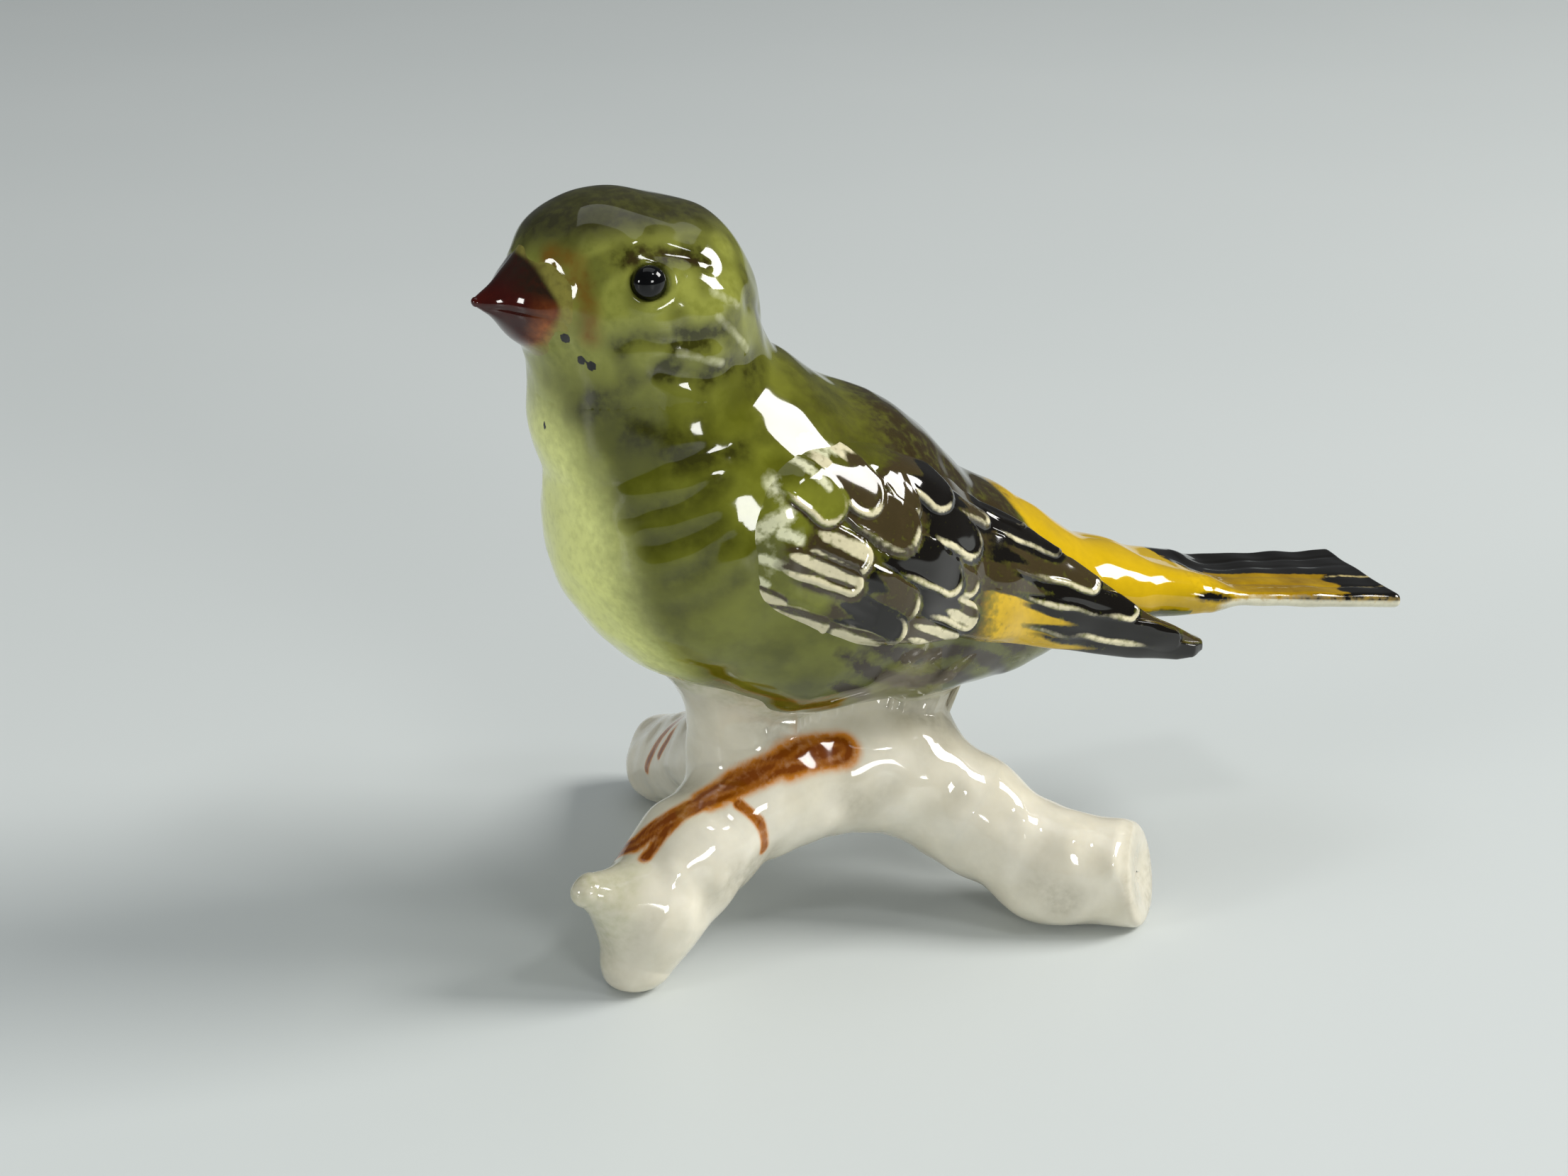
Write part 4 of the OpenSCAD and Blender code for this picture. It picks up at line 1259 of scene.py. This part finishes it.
@dataclass
class Tail:
    """Square-cut tail, flush with the rump: superellipse rings settled onto the tailed bird's field.

    Attributes:
        front_x: where it starts, hidden in the rump.
        rows: rings from there to the end.
        around: points of a ring.
        quills: offsets of the grooves between the feathers, at the end.
        lumps: unevenness of the cast.
        finish: the glaze.
    """
    front_x: float = 20.9
    rows: int = 190
    around: int = 190
    quills: tuple[float, ...] = (-4.3, -1.6, 1.6, 4.3)
    lumps: Lumps = Lumps(5.0, 0.05, 11)
    finish: PaintedGlaze = PaintedGlaze(
        "tail_painted_glaze", (174, 138, 4), (144, 110, 2),
        (
            Coat("gold", (200, 164, 12), ragged=0.2),
            Coat("ivory", (206, 202, 178), low=0.3, high=0.8, ragged=0.3),
            Coat("black", (15, 13, 10), low=0.3, high=0.65, ragged=0.3),
            Coat("line", (176, 160, 110), low=0.3, high=0.9, ragged=0.5),
        ),
        mottle=0.12, bristle=0.6, wave=0.008,
    )

    def build(self) -> None:
        """Builds and dresses the tail."""
        u = np.linspace(0.0, 1.0, self.rows)
        turn = np.linspace(0.0, 2.0 * math.pi, self.around, endpoint=False)
        u, turn = np.meshgrid(u, turn, indexing="ij")
        x = self.front_x + (TAIL_END - self.front_x) * u
        half = along_x(x, TAIL_HALF)
        across = np.sign(np.cos(turn)) * np.abs(np.cos(turn)) ** 0.62
        above = np.sign(np.sin(turn)) * np.abs(np.sin(turn)) ** 0.5
        points = np.stack([x, BIRD_Y - half * across, along_x(x, TAIL_MID) + TAIL_HALF_T * above], -1)
        points = settle(tailed_field, points, 7)
        points[-1] = points[-1].mean(0)
        points[-1, :, 0] = TAIL_END
        x, aside = points[..., 0], points[..., 1] - BIRD_Y
        vane = np.abs(aside)
        top = step(np.sin(turn), -0.15, 0.15)
        spread = 0.55 + 0.45 * u
        quills = sum(bell(aside - at * spread, 0.28) for at in self.quills)
        stepped = step(vane - 1.6 * spread, -0.2, 0.2)
        carved = (0.07 * quills + 0.05 * stepped) * step(x, 24.0, 28.0) * top * (1.0 - step(x, 42.5, 44.0))
        relief = (self.lumps(points) - carved) * step(x, 22.8, 26.0)
        relief -= SEAM_DIP * (1.0 - step(x, TAIL_SEAM - SEAM_HALF, TAIL_SEAM + SEAM_HALF))
        points[:-1] = raise_along(tailed_field, points, relief)[:-1]
        masks = self.masks(x, aside, half, top)
        hand_over(grid_mesh("tail", points, masks), self.finish.make(), Slot.TAIL, "tail")

    @staticmethod
    def masks(x: Array, aside: Array, half: Array, top: Array) -> dict[str, Array]:
        """Where each paint lies.

        Args:
            x: run along the bird.
            aside: offset from its plane of symmetry.
            half: half width of the tail.
            top: 1 on the upper side, 0 below.

        Returns:
            The masks by paint.
        """
        vane, below = np.abs(aside), 1.0 - top
        tip = step(x + 0.5 * np.sin(2.3 * aside), 37.5, 39.6)
        yellow = (1.0 - step(np.abs(aside + 3.0 + 0.02 * (x - 22.0)), 2.2, 3.0)) * (1.0 - tip) * top
        edging = 0.45 * bell(vane - (half - 0.1), 0.3) * step(x, 23.5, 27.0)
        ivory = 0.9 * below * step(x, 23.0, 26.0) + edging
        line = bell(aside + 1.4 + 0.02 * (x - 40.0), 0.16) * step(x, 38.0, 39.5) * top
        line += 0.5 * bell(aside + 4.1, 0.2) * step(x, 26.0, 30.0) * top
        black = np.clip(top - yellow, 0.0, 1.0) * step(x + 0.3 * vane, 21.5, 23.5)
        black = black * (1.0 - np.clip(ivory - below, 0.0, 1.0))
        return {"black": black, "ivory": ivory, "line": line, "gold": 1.0 - step(x, 22.5, 28.0)}


# ---------------------------------------------------------------- the branch

RUST: tuple[tuple[Line, float], ...] = (
    (((-13.4, -11.6, 18.4), (-15.4, -12.0, 18.8), (-17.3, -12.1, 18.8), (-19, -12.5, 18.6)), 1.7),
    (((-19, -12.5, 18.6), (-20.8, -12.6, 18.3), (-23.6, -12.4, 17.2), (-26.6, -12.7, 16.3)), 1.35),
    (((-26.6, -12.7, 16.3), (-30, -13.1, 15.2), (-33, -12.4, 12.8), (-33.9, -10.6, 11.1)), 0.9),
    (((-24.4, -12.7, 16.7), (-27.9, -13.4, 15.8), (-30.9, -13.8, 14.3), (-32.9, -14.3, 12.6)), 0.6),
    (((-24.1, -13.8, 15.8), (-22.6, -14.6, 14.3), (-22, -14.8, 11.6)), 0.55),
    (((-20.4, 12.6, 12.0), (-22.2, 13.4, 10.4), (-23.0, 14.0, 8.4), (-23.1, 14.6, 6.4)), 0.5),
    (((-20.9, 11.2, 12.0), (-22.3, 11.6, 10.6), (-22.9, 12.2, 8.8)), 0.4),
)
KNOTS: tuple[Spot, ...] = (
    ((-2.4, -13.6, 13.6), 0.5), ((2.4, -16.6, 10.4), 0.45), ((5.6, -19.6, 8.6), 0.4),
    ((9.4, -21.9, 7.6), 0.4),
    ((12.6, -23.2, 6.9), 0.45), ((-30.8, -16.2, 11.4), 0.4), ((-27.2, -16.2, 10.2), 0.35),
    ((-18.0, 12.4, 12.2), 0.4), ((-15.2, 8.6, 11.2), 0.35),
)
SPECKS: tuple[Spot, ...] = (
    ((-22.9, -10.6, 20.6), 0.28), ((-22.8, -10.9, 20.2), 0.22), ((-11.3, -11.7, 16.9), 0.14),
)
TRUNK_SPINE = ((-26.4, -11.0, 11.2), (-22.5, -9.4, 12.9), (-19, -8, 14.2), (-12.5, -8, 14.4),
               (-6, -8, 13.8), (-3.0, -9.4, 11.9), (0.4, -11.6, 9.2))
FRONT_SPINE = ((-24.4, -10.2, 12.2), (-27.5, -11.5, 10.6), (-31.5, -13.1, 7.4), (-33.5, -13.8, 4.6))
TWIG_SPINE = ((-35.6, -14.6, 9.1), (-37.9, -14.95, 10.6))
RIGHT_SPINE = ((-1.4, -10.5, 10.4), (-0.6, -11, 9.8), (3, -13.6, 7.2), (6, -16, 5.4),
               (9.5, -17.9, 5.0), (12.4, -19.1, 4.8))
BACK_SPINE = ((-17.2, -3.0, 14.0), (-18.2, 8, 10.2), (-19.0, 16.6, 6.2), (-19.3, 19.6, 4.6))
LEFT_FOOT_SPINE = ((-21.2, -7.0, 16.5), (-21.2, -7.0, 24.5))
RIGHT_FOOT_SPINE = ((-3.4, -6.4, 16.5), (-3.4, -6.4, 24.5))
FRONT_JOINT = ((-25.5, -10.7, 11.6), (-0.86, -0.36, -0.37))
RIGHT_JOINT = ((-0.4, -11.0, 9.7), (0.72, -0.48, -0.5))
TWIG_JOINT = ((-36.6, -14.8, 9.7), (-0.83, -0.1, 0.55))


@dataclass
class Branch:
    """Trunk, three boughs, a twig stub and both legs: skins over one field, shared out at the joints."""
    around: int = 150
    lumps: Lumps = Lumps(3.8, 0.06, 21)
    waves: Lumps = Lumps(8.0, 0.14, 22)
    finish: PaintedGlaze = PaintedGlaze(
        "ivory_white_glaze", (220, 215, 198), (212, 206, 186),
        (
            Coat("pool", (178, 172, 152), ragged=0.5),
            Coat("moss", (150, 152, 104), ragged=0.5),
            Coat("rust_light", (200, 128, 40), ragged=0.25),
            Coat("rust", (122, 60, 4), low=0.1, high=0.9, ragged=0.2),
            # painted shade in the vent pinhole, and dark specks
            Coat("dark", (40, 34, 30), low=0.4, high=0.6, ragged=0.2),
        ),
        mottle=0.035, bristle=0.7, depth=0.12, wave=0.02,
    )

    def relief(self, p: Array) -> Array:
        """Thumbed clay: broad and small lumps and a few knots, none on the flat feet or the cut faces."""
        out = self.lumps(p) + self.waves(p)
        for at, height in KNOTS:
            dent = (at[0] + 1.9, at[1], at[2] - 0.7)
            out += height * spot(p, at, 1.3) - 0.5 * height * spot(p, dent, 1.2)
        flat = step(p[..., 2], 0.1, 1.8) * step(-beyond(p, *RIGHT_CUT), 0.2, 1.4)
        flat = flat * step(np.maximum(bird_field(p), 0.0), 0.0, 1.2)
        return out * flat

    def masks(self, p: Array) -> dict[str, Array]:
        """Rust brush strokes, glaze pooled in hollows, a green breath under the bird, painted shade in the
        pinhole, and specks.
        """
        rust = np.maximum.reduce([stroke(p, line, w) for line, w in RUST])
        across = np.sqrt(-np.log(np.maximum(rust, 1e-6)))
        top = step(p[..., 2], 0.0, 1.0)
        streak = 0.5 + 0.5 * np.cos(9.0 * across + 2.0 * np.sin(0.9 * p[..., 0]))
        hollow = np.clip(-self.lumps(p) - self.waves(p), 0.0, 0.3) / 0.3
        cut = step(beyond(p, *RIGHT_CUT), -0.9, -0.3)
        at, ahead = np.array(RIGHT_CUT[0]), unit(np.array(RIGHT_CUT[1]))
        # painted shade: the vent pinhole is painted dark
        painted_hole_shade = 1.0 - step(rod(p, (*(at - ahead), 0.0), (*(at + ahead), 0.0)), 0.34, 0.5)
        specks = np.maximum.reduce([1.0 - step(ball(p, s, 0.0), r, r + 0.15) for s, r in SPECKS])
        moss = 0.30 * step(beyond(p, (-33, -14, 9), (-1, 0.1, 0.4)), 0, 3)
        moss = moss + 0.25 * step(1.2 - bird_field(p), 0, 1)
        return {
            "rust": step(rust, 0.25, 0.75) * (0.62 + 0.38 * streak), "rust_light": step(rust, 0.12, 0.5),
            "pool": 0.55 * hollow * top + 0.35 * cut, "moss": moss, "dark": np.maximum(painted_hole_shade, specks),
        }

    @staticmethod
    def core(p: Array) -> Array:
        """What the back bough and the legs are set on: trunk, saddle, front and right boughs."""
        trunk = blend(chain(p, TRUNK_LINE, 2.0), chain(p, SADDLE, 2.0), 2.5)
        return blend(trunk, np.minimum(chain(p, FRONT, 2.0), chain(p, RIGHT, 2.0)), 2.5)

    def onto(self, limb: Sequence[Ball], soft: float) -> Field:
        """Joint midway between the core and a limb that is set on it.

        Args:
            limb: the limb's balls.
            soft: how softly they run together.

        Returns:
            The signed distance past the joint, into the limb.
        """
        def joint(p: Array) -> Array:
            """Half of what the limb is nearer than the core."""
            return (self.core(p) - chain(p, limb, soft)) / 2.0
        return joint

    def piece(self, name: str, line: Sequence[Point], joints: Sequence[Field], rows: int, fan: int,
              high: float, material: bpy.types.Material, hint: Point = UP) -> None:
        """One limb: rays from a line to the branch's field, ended just past its joints.

        Args:
            name: name of the piece.
            line: line inside the limb that the rays start from.
            joints: where its neighbours begin.
            rows: upright rings.
            fan: leaning rings at each end.
            high: how far the rays reach.
            material: the glaze.
            hint: direction in which each ring starts.
        """
        territory = Territory(branch_field, tuple(joints))
        points = skin(territory, Spine.along(line, rows, fan), self.around, high, hint)
        over = either(*joints)(points)
        masks = self.masks(points)
        points = raise_along(branch_field, points, self.relief(points), over)
        points[..., 2] = np.maximum(points[..., 2], 0.0)
        hand_over(grid_mesh(name, points, masks), material, Slot.WHITE, name)

    def build(self) -> None:
        """Trunk first, then what is luted to it."""
        glaze = self.finish.make()
        back = self.onto(BACK, 2.0)
        left_leg, right_leg = self.onto(LEFT_LEG, 1.5), self.onto(RIGHT_LEG, 1.5)
        ends = (past(*FRONT_JOINT), past(*RIGHT_JOINT), back, left_leg, right_leg)
        self.piece("trunk", TRUNK_SPINE, ends, 190, 14, 14.0, glaze)
        ends = (short_of(*FRONT_JOINT), past(*TWIG_JOINT))
        self.piece("front_bough", FRONT_SPINE, ends, 90, 44, 12.0, glaze, hint=ASIDE)
        self.piece("twig_stub", TWIG_SPINE, (short_of(*TWIG_JOINT),), 30, 34, 8.0, glaze)
        self.piece("right_bough", RIGHT_SPINE, (short_of(*RIGHT_JOINT),), 120, 44, 12.0, glaze)
        self.piece("back_bough", BACK_SPINE, (other_side(back),), 130, 44, 12.0, glaze)
        self.piece("left_foot", LEFT_FOOT_SPINE, (other_side(left_leg),), 60, 30, 9.0, glaze, hint=AHEAD)
        self.piece("right_foot", RIGHT_FOOT_SPINE, (other_side(right_leg),), 60, 30, 9.0, glaze, hint=AHEAD)


# ---------------------------------------------------------------- where it stands

CAMERA_AT = (-94.1, -207.7, 119.8)
CAMERA_AIM = (-17.06, -6.91, 32.85)
LAMP_AIM = (-0.012, -0.008, 0.035)  # metres
ROOM_COLOUR = (0.86, 0.90, 0.93, 1.0)
ROOM_FILL = 0.30         # strength of the room's light in the shadows
ROOM_REFLECTION = 0.10   # its strength as the glaze mirrors it

@dataclass(frozen=True)
class Lamp:
    """Rectangular light aimed at the bird.

    Attributes:
        name: name of the light.
        azimuth: degrees from +X towards +Y.
        elevation: degrees over the table.
        away: distance in metres.
        wide: width in metres.
        tall: height in metres.
        watts: power.
        tint: colour.
    """
    name: str
    azimuth: float
    elevation: float
    away: float
    wide: float
    tall: float
    watts: float
    tint: tuple[float, float, float] = (1.0, 1.0, 1.0)

    def hang(self) -> None:
        """Puts the light up."""
        data = bpy.data.lights.new(self.name, "AREA")
        data.shape, data.size, data.size_y = "RECTANGLE", self.wide, self.tall
        data.energy, data.color = self.watts, self.tint
        a, e = math.radians(self.azimuth), math.radians(self.elevation)
        back = Vector((math.cos(a) * math.cos(e), math.sin(a) * math.cos(e), math.sin(e)))
        lamp = bpy.data.objects.new(self.name, data)
        lamp.location = Vector(LAMP_AIM) + back * self.away
        lamp.rotation_euler = (-back).to_track_quat("-Z", "Y").to_euler()
        bpy.context.scene.collection.objects.link(lamp)


@dataclass
class Studio:
    """Pale table, soft lights and the camera."""
    lamps: tuple[Lamp, ...] = (
        Lamp("key_window", -17.0, 37.0, 1.20, 0.50, 0.44, 13.6, (1.0, 0.98, 0.95)),
        Lamp("ceiling", 60.0, 80.0, 0.90, 0.90, 0.60, 1.3, (0.97, 0.99, 1.0)),
        Lamp("side_window", 192.0, 14.0, 0.70, 0.12, 0.12, 0.9, (1.0, 1.0, 0.97)),
        Lamp("front_window", -82.0, 16.0, 0.70, 0.16, 0.12, 1.1, (1.0, 1.0, 0.98)),
        Lamp("knee_window", -58.0, 56.0, 0.90, 0.12, 0.10, 0.7),
    )
    table_size: float = 3.0

    def build(self) -> None:
        """Sets up table, lights, surroundings and camera."""
        half = self.table_size / 2.0
        mesh = bpy.data.meshes.new("table_top")
        corners = [(-half, -half, 0), (half, -half, 0), (half, half, 0), (-half, half, 0)]
        mesh.from_pydata(corners, [], [(0, 1, 2, 3)])
        floor = bpy.data.objects.new("table_top", mesh)
        bpy.context.scene.collection.objects.link(floor)
        mesh.materials.append(self.lacquer())
        for lamp in self.lamps:
            lamp.hang()
        world = bpy.data.worlds.new("room")
        world.use_nodes = True
        world.node_tree.nodes["Background"].inputs["Color"].default_value = ROOM_COLOUR
        self.dim_reflections(world.node_tree)
        bpy.context.scene.world = world
        bpy.context.scene.view_settings.view_transform = "Standard"
        data = bpy.data.cameras.new("camera")
        data.lens, data.sensor_width = 60.0, 36.0
        data.clip_start, data.clip_end = 0.01, 20.0
        camera = bpy.data.objects.new("camera", data)
        at, aim = Vector(CAMERA_AT) * MM, Vector(CAMERA_AIM) * MM
        camera.location = at
        camera.rotation_euler = (aim - at).to_track_quat("-Z", "Y").to_euler()
        bpy.context.scene.collection.objects.link(camera)
        bpy.context.scene.camera = camera

    @staticmethod
    def dim_reflections(tree: bpy.types.NodeTree) -> None:
        """Room light that fills the shadows but shows less in the glaze than the windows do."""
        path = tree.nodes.new("ShaderNodeLightPath")
        strength = tree.nodes.new("ShaderNodeMapRange")
        strength.inputs["To Min"].default_value = ROOM_FILL
        strength.inputs["To Max"].default_value = ROOM_REFLECTION
        tree.links.new(path.outputs["Is Glossy Ray"], strength.inputs["Value"])
        tree.links.new(strength.outputs["Result"], tree.nodes["Background"].inputs["Strength"])

    @staticmethod
    def lacquer() -> bpy.types.Material:
        """Satin pale grey lacquer with a faint orange-peel."""
        material = bpy.data.materials.new("pale_table_lacquer")
        material.use_nodes = True
        nodes, links = material.node_tree.nodes, material.node_tree.links
        shader = nodes["Principled BSDF"]
        coords = nodes.new("ShaderNodeTexCoord").outputs["Object"]
        cloud = PaintedGlaze.noise(nodes, links, coords, 9.0, 2.0)
        ramp = nodes.new("ShaderNodeMix")
        ramp.data_type = "RGBA"
        links.new(cloud, ramp.inputs[0])
        ramp.inputs[6].default_value = linear((202, 208, 207))
        ramp.inputs[7].default_value = linear((208, 213, 212))
        links.new(ramp.outputs[2], shader.inputs["Base Color"])
        shader.inputs["Roughness"].default_value = 0.42
        return material


def main() -> None:
    """Builds the figurine piece by piece in its studio."""
    logging.basicConfig(level=logging.INFO, format="%(name)s: %(message)s")
    for part in (Studio(), Bird(), Beak(), Eyes(), Wings(), Tail(), Branch()):
        part.build()


if __name__ == "__main__":
    main()
